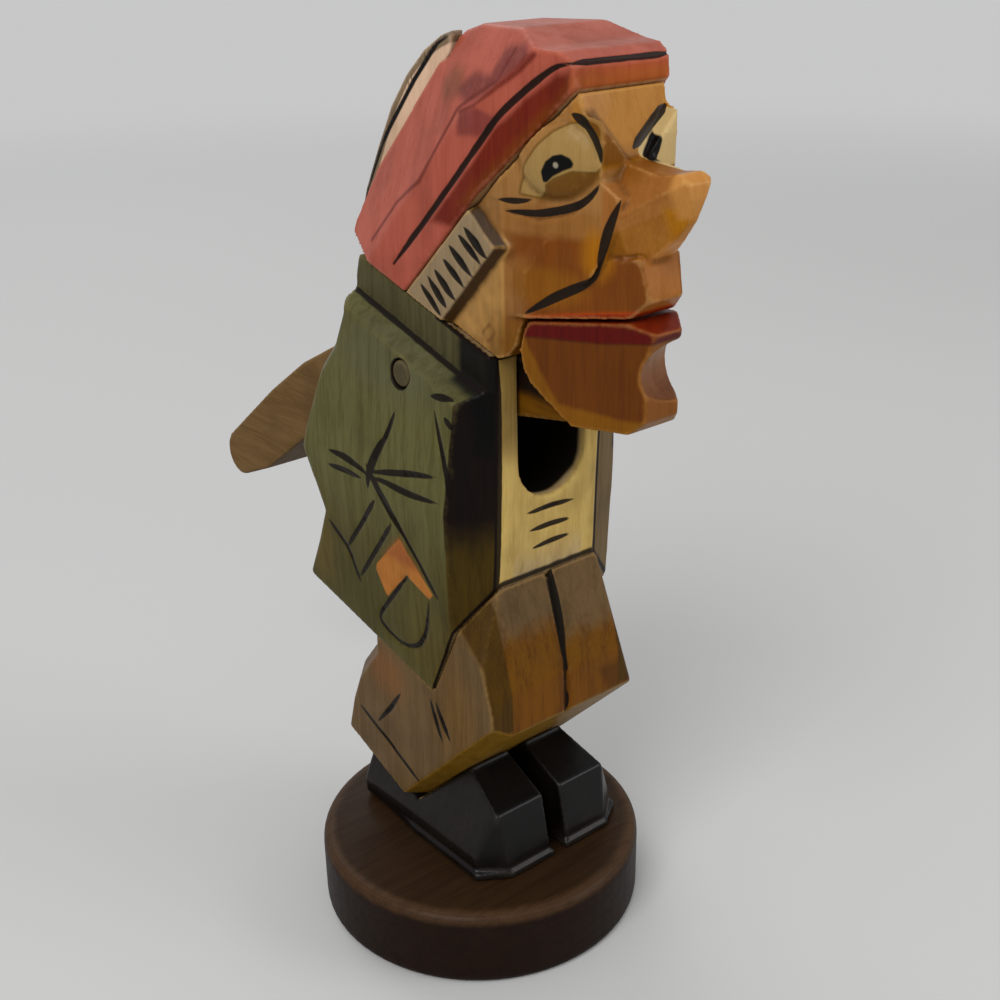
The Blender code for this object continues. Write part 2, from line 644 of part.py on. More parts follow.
def add_stroke(body, points, outward, width, depth):
    """Lofts a triangular section along the points. It is narrow and shallow where the tool goes in and out."""
    last = len(points) - 1
    rings = []
    for index, point in enumerate(points):
        ahead = points[min(index + 1, last)] - points[max(index - 1, 0)]
        side = outward.cross(ahead.normalized())
        size = STROKE_END if index in (0, last) else 1.0
        lift = outward * STROKE_LIFT
        spread = side * width * size * (0.5 + 0.5 * STROKE_LIFT / (depth * size))
        corners = (point + lift - spread, point + lift + spread, point - outward * depth * size)
        rings.append([body.verts.new(corner) for corner in corners])
    for ring, following in zip(rings, rings[1:]):
        for i in range(3):
            j = (i + 1) % 3
            body.faces.new((ring[i], ring[j], following[j], following[i]))
    body.faces.new(rings[0][::-1])
    body.faces.new(rings[-1])
    bmesh.ops.recalc_face_normals(body, faces=body.faces)


def slot_tool(figure):
    """The U-shaped slot from the chest through the back, open at the top, its floor falling backwards."""
    radius = SLOT_WIDTH / 2 / UNIT
    floor = SLOT_FLOOR_Z / UNIT
    top = floor + OVERSHOOT / UNIT
    outline = arc((0, floor + radius), radius, 180, 360, 12) + [(radius, top), (-radius, top)]
    mesh = flat_mesh("lever slot", outline, OVERSHOOT / 2)
    front_view = Matrix(((1, 0, 0, 0), (0, 0, -1, 0), (0, 1, 0, 0), (0, 0, 0, 1)))
    mesh.transform(front_view)
    front = Vector((0, COLLAR_SEAM.y * UNIT, SLOT_FLOOR_Z))
    fall = Matrix.Rotation(math.radians(-SLOT_FALL), 4, "X")
    mesh.transform(Matrix.Translation(front) @ fall @ Matrix.Translation(-front))
    return add_object("lever slot", mesh, TOOLS, figure)


def make_torso(figure, material):
    torso = sawn_block("torso", TORSO_OUTLINE, COAT_HALF_WIDTH, figure, COAT_BACK_CHAMFER,
                       lambda y, z: y > COAT_BACK_START)
    keep_above(torso, WAIST_FRONT_SEAM)
    keep_above(torso, WAIST_BACK_SEAM)
    keep_below(torso, COLLAR_SEAM, COLLAR_HEIGHT)
    for facet in (LAPEL_FACET, SLEEVE_FACET, SKIRT_FACET, SHOULDER_FACET):
        knife_both_sides(torso, facet)
    collar = sawn_block("collar", COLLAR_OUTLINE, COLLAR_HALF_WIDTH, figure)
    knife_both_sides(collar, LAPEL_FACET)
    keep_below(collar, COLLAR_SEAM)
    join(torso, collar)
    cut(torso, slot_tool(figure))
    for side, sign in sides():
        cut(torso, v_tool("elbow creases " + side, SLEEVE_FACET, ELBOW_CREASES, figure, sign))
        cut(torso, v_tool("sleeve creases " + side, SKIRT_FACET, SLEEVE_CREASES, figure, sign))
    cut(torso, v_tool("shirt creases", SHIRT_FACET, SHIRT_CREASES, figure))
    return as_part(torso, material)


def eyeball(name, sign, parent):
    """A flattened ball that stands out of the temple facet."""
    mesh = bpy.data.meshes.new(name)
    body = bmesh.new()
    bmesh.ops.create_uvsphere(body, u_segments=16, v_segments=9, radius=UNIT)
    body.to_mesh(mesh)
    body.free()
    (start_x, start_y), (end_x, end_y) = TEMPLE
    turn = math.atan2(end_x - start_x, -(end_y - start_y))
    ball = Matrix.Rotation(math.radians(90), 4, "Y")
    mesh.transform(Matrix.Diagonal((*EYE_SIZE, 1)) @ ball)
    mesh.transform(Matrix.Translation(Vector(EYE_CENTRE) * UNIT) @ Matrix.Rotation(turn, 4, "Z"))
    if sign < 0:
        mesh.transform(Matrix.Scale(-1, 4, (1, 0, 0)))
        mesh.flip_normals()
    return add_object(name, mesh, PARTS, parent)


def brow_recess(figure):
    """The space between the brows. Its back is the forehead, which slopes down and forward."""
    recess = front_block("brow recess", BROW_RECESS, FOREHEAD[0][0] * UNIT - BROW_REACH, BROW_REACH, figure)
    (low_y, low_z), (high_y, high_z) = FOREHEAD
    slope = (high_y - low_y) / (high_z - low_z)
    middle = FOREHEAD[0][0] * UNIT - BROW_REACH / 2
    for vertex in recess.data.vertices:
        if vertex.co.y > middle:
            vertex.co.y = low_y * UNIT + (vertex.co.z - low_z * UNIT) * slope
    return recess


def sideburn_locks():
    """One short stroke for each lock, from the cap's edge towards the jaw."""
    back, down = LOCK_REACH
    return [[(y + back, z + down), (y, z), (y - back, z - down)] for y, z in SIDEBURN_LOCKS]


def make_head(figure, material):
    head = sawn_block("head", HEAD_OUTLINE, CHEEK_HALF_WIDTH, figure)
    upright_facet(head, *TEMPLE)
    cut(head, brow_recess(figure))
    for side, sign in sides():
        join(head, eyeball("eye " + side, sign, figure))
    muzzle = sawn_block("muzzle", MUZZLE_OUTLINE, MUZZLE_HALF_WIDTH, figure)
    upright_facet(muzzle, *MUZZLE_FACET)
    knife_both_sides(muzzle, MUZZLE_TOP_FACET)
    nose = sawn_block("nose", NOSE_OUTLINE, NOSE_HALF_WIDTH, figure)
    knife_both_sides(nose, NOSE_TOP_FACET)
    knife_both_sides(nose, NOSE_SIDE_FACET)
    sideburn = sawn_block("sideburn", SIDEBURN_OUTLINE, SIDEBURN_HALF_WIDTH, figure, SIDEBURN_BEVEL)
    for block in (muzzle, nose, sideburn):
        join(head, block)
    bake(head)
    keep_above(head, COLLAR_SEAM)
    keep_below(head, CAP_SEAM)
    temple = [(*TEMPLE[0], 150), (*TEMPLE[1], 150), (*TEMPLE[1], 160)]
    for side, sign in sides():
        cut(head, v_tool("eye bag " + side, temple, EYE_BAG, figure, sign))
        cut(head, v_tool("sideburn locks " + side, SIDEBURN_FACET, sideburn_locks(), figure, sign,
                         LOCK_WIDTH))
    return as_part(head, material)


def make_cap(figure, material):
    cap = sawn_block("cap", CAP_OUTLINE, CAP_HALF_WIDTH, figure)
    for facet in CROWN_FACETS:
        knife_both_sides(cap, facet)
    upright_facet(cap, *CAP_FRONT_FACET)
    keep_above(cap, COLLAR_SEAM)
    keep_above(cap, CAP_SEAM)
    return as_part(cap, material)


def make_feather(figure, cap, material):
    """A flat carved feather that stands on edge in a saw kerf down the back of the cap."""
    feather = sawn_block("cap_feather", FEATHER_OUTLINE, FEATHER_THICKNESS / 2, figure)
    feather.data.transform(Matrix.Translation((FEATHER_MIDDLE, 0, 0)))
    kerf = sawn_block("feather kerf", FEATHER_OUTLINE, FEATHER_THICKNESS / 2 + JOINT_GAP, figure)
    kerf.data.transform(Matrix.Translation((FEATHER_MIDDLE, 0, 0)))
    for vertex in kerf.data.vertices:
        vertex.co.y -= JOINT_GAP
        vertex.co.z -= JOINT_GAP
    cut(cap, kerf)
    return as_part(feather, material)


def lever_outline():
    tip = arc(HANDLE_END_CENTRE, HANDLE_END_RADIUS, -110, 45, 7)
    return LEVER_OUTLINE_BOTTOM + tip + LEVER_OUTLINE_TOP


def make_lever(figure, material):
    half = SLOT_WIDTH / 2 - SLOT_CLEARANCE
    lever = sawn_block("jaw_lever", lever_outline(), half, figure, HANDLE_BEVEL,
                       lambda y, z: y > HANDLE_START)
    tenon = sawn_block("tenon", TENON_OUTLINE, TENON_HALF_WIDTH, figure)
    join(lever, tenon)
    return as_part(lever, material)


def make_chin(figure, material):
    chin = sawn_block("chin_block", CHIN_OUTLINE, CHIN_HALF_WIDTH, figure)
    for facet in CHIN_FACETS:
        upright_facet(chin, *facet)
    gouge_mesh = turned_mesh("chin gouge", plain_profile(CHIN_GOUGE_RADIUS, OVERSHOOT / 2))
    gouge = add_object("chin gouge", gouge_mesh, PARTS, figure)
    turn = math.radians(CHIN_GOUGE_TURN)
    place_along(gouge, Vector(CHIN_GOUGE_CENTRE) * UNIT, (math.cos(turn), math.sin(turn), 0))
    cut(chin, gouge)
    half = SLOT_WIDTH / 2 - SLOT_CLEARANCE + JOINT_GAP
    seat = sawn_block("lever seat", LEVER_SEAT_OUTLINE, half, figure)
    mortise = sawn_block("mortise", MORTISE_OUTLINE, TENON_HALF_WIDTH + JOINT_GAP, figure)
    cut(chin, seat)
    cut(chin, mortise)
    return as_part(chin, material)


def join_by_dowel(name, diameter, length, centre, direction, figure, joined, chamfer=DOWEL_CHAMFER):
    """A dowel of its own, and its hole in each of the pieces that it joins."""
    pin = dowel(name, diameter, length, centre, direction, figure, chamfer)
    for part in joined:
        drill(part, diameter, length, centre, direction, figure)
    return as_part(pin, finish("wood of " + name, (0.50, 0.36, 0.20), 0.6))


def add_dowels(figure, parts):
    """The hidden dowels, each in a hole that is half in one piece and half in the next."""
    upright = Vector((0, 0, 1))
    for side, sign in sides():
        boot_z = HEM_SEAM.height(BOOT_DOWEL_Y) + BOOT_DOWEL_RISE
        centre = Vector((sign * BOOT_DOWEL_SIDE, BOOT_DOWEL_Y, boot_z))
        join_by_dowel("boot_dowel_" + side, DOWEL_DIAMETER, BOOT_DOWEL_LENGTH, centre, upright, figure,
                      (parts["boot_" + side], parts["trousers"]))
        centre = Vector((sign * WAIST_DOWEL_SIDE, WAIST_DOWEL_Y, WAIST_BACK_SEAM.height(WAIST_DOWEL_Y)))
        join_by_dowel("waist_dowel_" + side, DOWEL_DIAMETER, DOWEL_LENGTH, centre, upright, figure,
                      (parts["trousers"], parts["torso"]))
        centre = Vector((sign * NECK_DOWEL_SIDE, NECK_DOWEL_Y, COLLAR_SEAM.height(NECK_DOWEL_Y)))
        join_by_dowel("neck_dowel_" + side, NECK_DOWEL_DIAMETER, NECK_DOWEL_LENGTH, centre,
                      COLLAR_SEAM.normal(), figure, (parts["torso"], parts["head"]), THIN_DOWEL_CHAMFER)
    centre = Vector((0, CAP_DOWEL_Y, CAP_SEAM.height(CAP_DOWEL_Y)))
    join_by_dowel("cap_dowel", CAP_DOWEL_DIAMETER, CAP_DOWEL_LENGTH, centre, CAP_SEAM.normal(), figure,
                  (parts["head"], parts["cap"]))


def add_chin_pin(figure, parts):
    """The pin through the chin block and the lever's tenon."""
    centre = Vector((0, CHIN_PIN_Y, CHIN_PIN_Z))
    return join_by_dowel("chin_dowel", CHIN_PIN_DIAMETER, CHIN_PIN_LENGTH, centre, Vector((1, 0, 0)), figure,
                         (parts["jaw_lever"], parts["chin_block"]), THIN_DOWEL_CHAMFER)


def add_pivot(figure, parts):
    """The cross pin through both coat sides, which the lever turns on."""
    centre = Vector((0, PIVOT_Y, PIVOT_Z))
    across = Vector((1, 0, 0))
    length = 2 * PIVOT_HALF_LENGTH
    pin = dowel("pivot_dowel", PIVOT_DIAMETER, length, centre, across, figure, THIN_DOWEL_CHAMFER)
    as_part(pin, finish("pivot wood", (0.10, 0.09, 0.04), 0.5))
    drill(parts["torso"], PIVOT_DIAMETER, OVERSHOOT, centre, across, figure)
    drill(parts["jaw_lever"], PIVOT_DIAMETER, length, centre, across, figure, PIVOT_CLEARANCE)


def hang_jaw(figure, pieces):
    """Puts what moves with the lever on an empty that lies on the pivot's axis."""
    pivot = add_object("jaw", None, PARTS, figure)
    pivot.location = (0, PIVOT_Y, PIVOT_Z)
    for piece in pieces:
        hang(piece, pivot)


def main():
    global PARTS, TOOLS
    clear_scene()
    PARTS = new_collection("carved_nutcracker")
    TOOLS = new_collection("cutters")
    figure = add_object("figure", None, PARTS, None)
    figure.location = (FIGURE_OFFSET_X, 0, PLINTH_HEIGHT + JOINT_GAP)

    plinth = make_plinth(finish("walnut stain", (0.05, 0.03, 0.022), 0.45))
    boots = [make_boot(side, sign, figure, finish("boot " + side, (0.012, 0.011, 0.012), 0.25))
             for side, sign in sides()]
    parts = {
        "trousers": make_trousers(figure, finish("trouser brown", (0.30, 0.19, 0.09), 0.4)),
        "torso": make_torso(figure, finish("coat green", (0.12, 0.12, 0.05), 0.4)),
        "head": make_head(figure, finish("honey lacquer", (0.55, 0.30, 0.09), 0.3)),
        "cap": make_cap(figure, finish("cap red", (0.38, 0.07, 0.05), 0.35)),
        "jaw_lever": make_lever(figure, finish("handle brown", (0.21, 0.11, 0.05), 0.55)),
        "chin_block": make_chin(figure, finish("chin lacquer", (0.42, 0.20, 0.06), 0.3)),
        "boot_right": boots[0],
        "boot_left": boots[1],
    }
    make_feather(figure, parts["cap"], finish("feather cream", (0.60, 0.52, 0.36), 0.45))
    add_dowels(figure, parts)
    chin_pin = add_chin_pin(figure, parts)
    add_pivot(figure, parts)
    hang_jaw(figure, (parts["jaw_lever"], parts["chin_block"], chin_pin))
    make_base_screws(plinth, boots)


main()
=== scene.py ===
"""The dressed nutcracker: carved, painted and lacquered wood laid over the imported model.

Every wooden piece is a copy of its CAD node with its arrises rubbed soft. Paint follows fields that are
stored on the skin, such as the distance to the nearest knife stroke. Lengths in the figure are millimetres
in the figure's own frame: x across, y to the back, z up from the top of the plinth.
"""
import logging
import math
from dataclasses import dataclass
from enum import Enum
from typing import Sequence, Union

import bmesh
import bpy
import numpy as np
from mathutils import Matrix, Vector


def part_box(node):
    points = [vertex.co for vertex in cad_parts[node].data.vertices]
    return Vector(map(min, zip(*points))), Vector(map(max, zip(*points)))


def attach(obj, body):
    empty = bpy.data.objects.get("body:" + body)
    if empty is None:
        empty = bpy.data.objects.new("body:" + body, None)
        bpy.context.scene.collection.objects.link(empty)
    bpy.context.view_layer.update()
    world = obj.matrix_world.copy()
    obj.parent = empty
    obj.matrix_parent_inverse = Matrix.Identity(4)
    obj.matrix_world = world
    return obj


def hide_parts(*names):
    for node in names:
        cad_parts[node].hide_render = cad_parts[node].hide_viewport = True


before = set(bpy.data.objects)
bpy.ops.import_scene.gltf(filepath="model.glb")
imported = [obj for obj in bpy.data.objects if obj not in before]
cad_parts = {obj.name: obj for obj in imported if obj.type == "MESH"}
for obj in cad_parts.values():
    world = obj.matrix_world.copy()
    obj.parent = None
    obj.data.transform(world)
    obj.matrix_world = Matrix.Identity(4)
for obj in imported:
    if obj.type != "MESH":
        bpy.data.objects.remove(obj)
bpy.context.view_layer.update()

LOG = logging.getLogger("nutcracker")
MM = 0.001                        # a millimetre, in metres
FIGURE_OFFSET = (5.0, 0.0, 19.6)  # the origin of the figure's own frame in the model, in millimetres
SHEEN = 0.006                     # what the lacquer's sheen adds to a colour
DARKEST = 0.0012                  # the darkest pigment
FAR = 9.0                         # a field's value where nothing is near, in millimetres
CRISP = 20.0                      # scales a distance, so that a wide edge stays narrow on that side
FIRM = 8.0                        # the same, for an edge of middling width
# A zone's limits, as an axis and a sign. The axes are the distance from the middle plane, y, z and x.
SIDES = {"inside": (0, 1), "outside": (0, -1), "before": (1, 1), "behind": (1, -1),
         "below": (2, 1), "above": (2, -1), "right_of": (3, 1), "left_of": (3, -1)}

Colour = tuple[float, float, float]
Point = tuple[float, float, float]
Flat = tuple[float, float]
Limit = Union[float, np.ndarray]


class Body(Enum):
    """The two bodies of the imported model."""
    FIGURE = "figure"
    JAW = "jaw"


class Grain(Enum):
    """Which way the wood's fibres run, as the stretch of the grain pattern along each axis."""
    UPRIGHT = (1.0, 1.0, 0.06)
    BACKWARDS = (1.0, 0.06, 1.0)
    ACROSS = (0.06, 1.0, 1.0)


def seen(red: float, green: float, blue: float) -> Colour:
    """The pigment that looks like a colour once the lacquer's sheen lies over it.

    Args:
        red: how red it looks, from 0 to 255.
        green: how green it looks.
        blue: how blue it looks.

    Returns:
        The pigment, in linear shares.
    """
    shares = (part / 255 for part in (red, green, blue))
    linear = (share / 12.92 if share < 0.04 else ((share + 0.055) / 1.055) ** 2.4 for share in shares)
    return tuple(max(part - SHEEN, DARKEST) for part in linear)


# ---------------------------------------------------------------- node trees


class Value:
    """A node socket that carries a number. Arithmetic on it adds Math nodes."""

    def __init__(self, graph: "Wiring", socket: bpy.types.NodeSocket) -> None:
        """Wraps an output socket of a tree."""
        self.graph = graph
        self.socket = socket

    def __add__(self, other: "Number") -> "Value":
        """self + other."""
        return self.graph.math("ADD", self, other)

    def __radd__(self, other: "Number") -> "Value":
        """other + self."""
        return self.graph.math("ADD", other, self)

    def __sub__(self, other: "Number") -> "Value":
        """self - other."""
        return self.graph.math("SUBTRACT", self, other)

    def __rsub__(self, other: "Number") -> "Value":
        """other - self."""
        return self.graph.math("SUBTRACT", other, self)

    def __mul__(self, other: "Number") -> "Value":
        """self * other."""
        return self.graph.math("MULTIPLY", self, other)

    def __rmul__(self, other: "Number") -> "Value":
        """other * self."""
        return self.graph.math("MULTIPLY", other, self)

    def highest(self, other: "Number") -> "Value":
        """The larger of the two."""
        return self.graph.math("MAXIMUM", self, other)

    def lowest(self, other: "Number") -> "Value":
        """The smaller of the two."""
        return self.graph.math("MINIMUM", self, other)

    def ease(self, low: float, high: float) -> "Value":
        """Eases from 0 to 1 between two values.

        Args:
            low: where the result is 0. It may be the larger of the two.
            high: where the result is 1.

        Returns:
            The eased value.
        """
        if low > high:
            return 1 - self.ease(high, low)
        node = self.graph.node("ShaderNodeMapRange", {"interpolation_type": "SMOOTHSTEP"},
                               {"Value": self, "From Min": low, "From Max": high})
        return Value(self.graph, node.outputs["Result"])


Number = Union[Value, float]


class Wiring:
    """A node tree that nodes are added to by one method."""

    def __init__(self, tree: bpy.types.NodeTree) -> None:
        """Wraps a node tree."""
        self.tree = tree

    def node(self, kind: str, settings: dict | None = None, sockets: dict | None = None) -> bpy.types.Node:
        """Adds a node.

        Args:
            kind: the node's type.
            settings: its properties, set before its sockets.
            sockets: a value or a link for each input, by the input's identifier.

        Returns:
            The new node.
        """
        node = self.tree.nodes.new(kind)
        for key, value in (settings or {}).items():
            setattr(node, key, value)
        inputs = {socket.identifier: socket for socket in node.inputs}
        for key, value in (sockets or {}).items():
            self.feed(inputs[key], value)
        return node

    def feed(self, socket: bpy.types.NodeSocket, value: object) -> None:
        """Links a socket, or sets its value.

        Args:
            socket: the input.
            value: a Value, an output socket, a number, a vector or a colour.
        """
        if isinstance(value, Value):
            value = value.socket
        if isinstance(value, bpy.types.NodeSocket):
            self.tree.links.new(value, socket)
        elif socket.type == "RGBA":
            socket.default_value = (*value, 1.0)
        else:
            socket.default_value = value

    def math(self, operation: str, first: Number, second: Number) -> Value:
        """One Math node on two numbers."""
        node = self.node("ShaderNodeMath", {"operation": operation}, {"Value": first, "Value_001": second})
        return Value(self, node.outputs[0])


class Graph(Wiring):
    """One material's node tree, with a Principled shader at its end."""

    def __init__(self, name: str) -> None:
        """Makes the material.

        Args:
            name: the material's name.
        """
        self.material = bpy.data.materials.new(name)
        self.material.use_nodes = True
        super().__init__(self.material.node_tree)
        self.shader = self.tree.nodes["Principled BSDF"]

    def mix(self, factor: Number, first: object, second: object) -> bpy.types.NodeSocket:
        """Blends two colours.

        Args:
            factor: 0 for the first, 1 for the second.
            first: a colour or a colour socket.
            second: a colour or a colour socket.

        Returns:
            The blended colour's socket.
        """
        node = self.node("ShaderNodeMix", {"data_type": "RGBA"},
                         {"Factor_Float": factor, "A_Color": first, "B_Color": second})
        return next(socket for socket in node.outputs if socket.identifier == "Result_Color")

    def place(self, stretch: Point, shift: Point = (0.0, 0.0, 0.0)) -> bpy.types.NodeSocket:
        """Object coordinates in millimetres, squeezed or stretched along each axis.

        Args:
            stretch: how fast the pattern runs along each axis.
            shift: where on the pattern this piece was cut from.

        Returns:
            The vector socket.
        """
        coordinates = self.node("ShaderNodeTexCoord")
        scale = tuple(part / MM for part in stretch)
        mapping = self.node("ShaderNodeMapping", {},
                            {"Vector": coordinates.outputs["Object"], "Scale": scale, "Location": shift})
        return mapping.outputs["Vector"]

    def noise(self, place: bpy.types.NodeSocket, scale: float, detail: float = 2.0,
              warp: float = 0.0) -> Value:
        """Adds a noise pattern.

        Args:
            place: where each spot lies on the pattern.
            scale: its periods per millimetre.
            detail: how many finer octaves it has.
            warp: how far it is distorted.

        Returns:
            The pattern, between 0 and 1.
        """
        node = self.node("ShaderNodeTexNoise", {},
                         {"Vector": place, "Scale": scale, "Detail": detail, "Distortion": warp})
        return Value(self, node.outputs[0])

    def field(self, name: str) -> Value:
        """A field stored on the piece's skin."""
        node = self.node("ShaderNodeAttribute", {"attribute_name": name})
        return Value(self, node.outputs["Fac"])

    def finish(self, colour: object, roughness: Number, height: Value, depth: float) -> None:
        """Joins the colour, the roughness and the relief to the shader.

        Args:
            colour: the base colour.
            roughness: the roughness.
            height: the relief, between 0 and 1.
            depth: how deep the relief is, in millimetres.
        """
        bump = self.node("ShaderNodeBump", {}, {"Height": height, "Distance": depth * MM, "Strength": 1.0})
        self.feed(self.shader.inputs["Base Color"], colour)
        self.feed(self.shader.inputs["Roughness"], roughness)
        self.feed(self.shader.inputs["Normal"], bump.outputs["Normal"])


class Pattern(Wiring):
    """A Geometry Nodes tree with named sizes that turns, sweeps or cuts a small part."""

    def __init__(self, name: str, sizes: Sequence[str]) -> None:
        """Makes the empty tree.

        Args:
            name: the tree's name.
            sizes: the names of its inputs, each a number.
        """
        super().__init__(bpy.data.node_groups.new(name, "GeometryNodeTree"))
        self.tree.interface.new_socket("Geometry", in_out="OUTPUT", socket_type="NodeSocketGeometry")
        self.identifiers = {size: self.tree.interface.new_socket(
            size, in_out="INPUT", socket_type="NodeSocketFloat").identifier for size in sizes}
        self.inputs = self.node("NodeGroupInput")

    def size(self, name: str) -> Value:
        """One of the tree's sizes."""
        return Value(self, next(socket for socket in self.inputs.outputs if socket.name == name))

    def upright(self, height: Number) -> bpy.types.NodeSocket:
        """A vector that points up by a height."""
        return self.node("ShaderNodeCombineXYZ", {}, {"Z": height}).outputs[0]

    def close(self, material: bpy.types.Material, *parts: bpy.types.NodeSocket) -> None:
        """Joins the parts and ends the tree.

        Args:
            material: the material of all of them.
            parts: the geometry.
        """
        joined = self.node("GeometryNodeJoinGeometry")
        for part in parts:
            self.tree.links.new(part, joined.inputs[0])
        real = self.node("GeometryNodeRealizeInstances", {}, {"Geometry": joined.outputs[0]})
        painted = self.node("GeometryNodeSetMaterial", {},
                            {"Geometry": real.outputs[0], "Material": material})
        out = self.node("NodeGroupOutput")
        self.tree.links.new(painted.outputs[0], out.inputs[0])

    def make(self, name: str, values: dict[str, float]) -> bpy.types.Object:
        """Makes a plain mesh object from the tree.

        Args:
            name: the object's name.
            values: the sizes, in metres.

        Returns:
            The object, at the origin along Z.
        """
        obj = bpy.data.objects.new(name, bpy.data.meshes.new(name))
        bpy.context.scene.collection.objects.link(obj)
        modifier = obj.modifiers.new("Pattern", "NODES")
        modifier.node_group = self.tree
        for size, value in values.items():
            modifier[self.identifiers[size]] = value
        obj.data = settle(obj)
        return obj


# ---------------------------------------------------------------- finishes


@dataclass(frozen=True)
class Coat:
    """A coat of paint on one zone of a piece. Its edge is as wide as the brush was dry."""
    zone: str
    colour: Colour
    streak: Colour
    cover: float
    edge: float
    stray: float


@dataclass(frozen=True)
class Finish:
    """Stained or painted wood: its colours, its gloss and how it wears."""
    name: str
    base: Colour
    streak: Colour
    worn: Colour
    grime: Colour = (0.012, 0.008, 0.005)
    ink: Colour = (0.0045, 0.0033, 0.0022)
    gloss: float = 0.36
    lacquer: float = 0.03
    sheen: float = 0.07
    streaks: float = 0.6
    rubbing: float = 0.3
    soiling: float = 0.7
    cloudy: float = 0.22
    grain: Grain = Grain.UPRIGHT
    relief: float = 0.15
    rings: bool = False

    def material(self, coats: Sequence[Coat] = ()) -> bpy.types.Material:
        """Builds the node tree.

        Args:
            coats: the paint on each zone, from the lowest coat up.

        Returns:
            The material.
        """
        graph = Graph(self.name)
        seed = float(sum(map(ord, self.name)) % 97)
        plain = graph.place((1.0, 1.0, 1.0), (seed, 0.0, 0.0))
        along = graph.place(self.grain.value, (0.0, seed, 0.0))
        fibre = graph.noise(along, scale=2.6, detail=3.0)
        figure = graph.noise(along, scale=0.42, detail=3.0, warp=0.6)
        cloud = graph.noise(plain, scale=0.075, detail=3.0)
        fleck = graph.noise(plain, scale=0.9)
        wobble = graph.noise(plain, scale=0.3, detail=1.0) - 0.5
        streak = (figure * 0.6 + fibre * 0.4).ease(0.40, 0.66)
        colour = graph.mix(streak * self.streaks, self.base, self.streak)
        for coat in coats:
            edge = graph.field(coat.zone) + (wobble * 1.2 + (fibre - 0.5) * 0.5) * coat.stray
            mask = edge.ease(coat.edge, -coat.edge)
            paint = graph.mix(streak * self.streaks, coat.colour, coat.streak)
            colour = graph.mix(mask * coat.cover, colour, paint)
        colour = graph.mix(cloud.ease(0.46, 0.74) * self.cloudy, colour, self.grime)
        wear = graph.field("wear")
        rub = (wear + (fleck - 0.5) * 0.4 + (cloud - 0.5) * 0.6).ease(0.20, 0.66) * self.rubbing
        colour = graph.mix(rub, colour, self.worn)
        hollow = ((fleck - 0.5) * 0.2 - wear).ease(0.06, 0.46) * self.soiling
        colour = graph.mix(hollow, colour, self.grime)
        line = (graph.field("ink") + wobble * 0.22).ease(0.12, -0.14)
        colour = graph.mix(line * 0.96, colour, self.ink)
        raw = graph.field("raw").ease(0.0, -0.1)
        wood = graph.mix(streak, seen(186, 156, 112), seen(160, 126, 84))
        colour = graph.mix(raw, colour, wood)
        if self.rings:
            colour, fibre = self.turned(graph, colour, fibre)
        roughness = self.gloss + streak * 0.05 + cloud * 0.10 + hollow * 0.12 + raw * 0.25
        tooled = graph.noise(plain, scale=0.11, detail=1.0)
        height = fibre * 0.30 + tooled * 1.6 + figure * 0.25
        graph.finish(colour, roughness, height, self.relief)
        graph.shader.inputs["Coat Weight"].default_value = self.lacquer
        graph.shader.inputs["Coat Roughness"].default_value = 0.2
        graph.shader.inputs["Specular IOR Level"].default_value = self.sheen
        return graph.material

    def turned(self, graph: Graph, colour: object, fibre: Value) -> tuple[object, Value]:
        """Adds the rings that a lathe leaves round Z.

        Args:
            graph: the graph to add to.
            colour: the colour so far.
            fibre: the relief so far.

        Returns:
            The colour and the relief with rings.
        """
        place = graph.place((1.0, 1.0, 1.0))
        wave = graph.node("ShaderNodeTexWave", {"wave_type": "RINGS", "rings_direction": "Z"},
                          {"Vector": place, "Scale": 0.42, "Distortion": 1.2, "Detail": 2.0})
        ring = Value(graph, wave.outputs["Fac"])
        return graph.mix(ring * 0.16, colour, self.grime), fibre * 0.6 + ring * 0.3


# ---------------------------------------------------------------- shapes on the skin


@dataclass(frozen=True)
class Facet:
    """A flat that a knife left, through three points on the figure's left."""
    first: Point
    second: Point
    third: Point

    def normal(self) -> np.ndarray:
        """Works out which way the facet faces: away from the middle, or to the front.

        Returns:
            The outward normal.
        """
        first, second, third = (np.array(point, float) for point in (self.first, self.second, self.third))
        normal = np.cross(second - first, third - first)
        normal /= np.linalg.norm(normal)
        outward = normal[0] if abs(normal[0]) > abs(normal[1]) else -normal[1]
        return normal if outward > 0 else -normal

    def height(self, points: np.ndarray) -> np.ndarray:
        """How far points on the figure's left stand out of the facet."""
        return (points - np.array(self.first, float)) @ self.normal()

    def drop(self, flat: Sequence[Flat]) -> list[Point]:
        """Drops points across the figure onto the facet.

        Args:
            flat: the points, as (y, z).

        Returns:
            The points on the facet.
        """
        normal, origin = self.normal(), np.array(self.first, float)
        spots = []
        for y, z in flat:
            reach = (origin - np.array((0.0, y, z))) @ normal / normal[0]
            spots.append((float(reach), y, z))
        return spots


@dataclass(frozen=True)
class Seam:
    """A flat joint between two pieces, through (y, z), rising backwards by angle degrees.

    It runs only in front of y where side is -1, only behind it where side is 1, and both ways where it is 0.
    """
    y: float
    z: float
    angle: float
    side: int = 0

    def height(self, points: np.ndarray) -> np.ndarray:
        """How far points lie above the seam."""
        slope = math.radians(self.angle)
        return (points[:, 2] - self.z) * math.cos(slope) - (points[:, 1] - self.y) * math.sin(slope)

    def beyond(self, points: np.ndarray) -> np.ndarray:
        """Above zero where the seam doesn't run."""
        return self.side * (self.y - points[:, 1]) - (0.0 if self.side else 1.0)


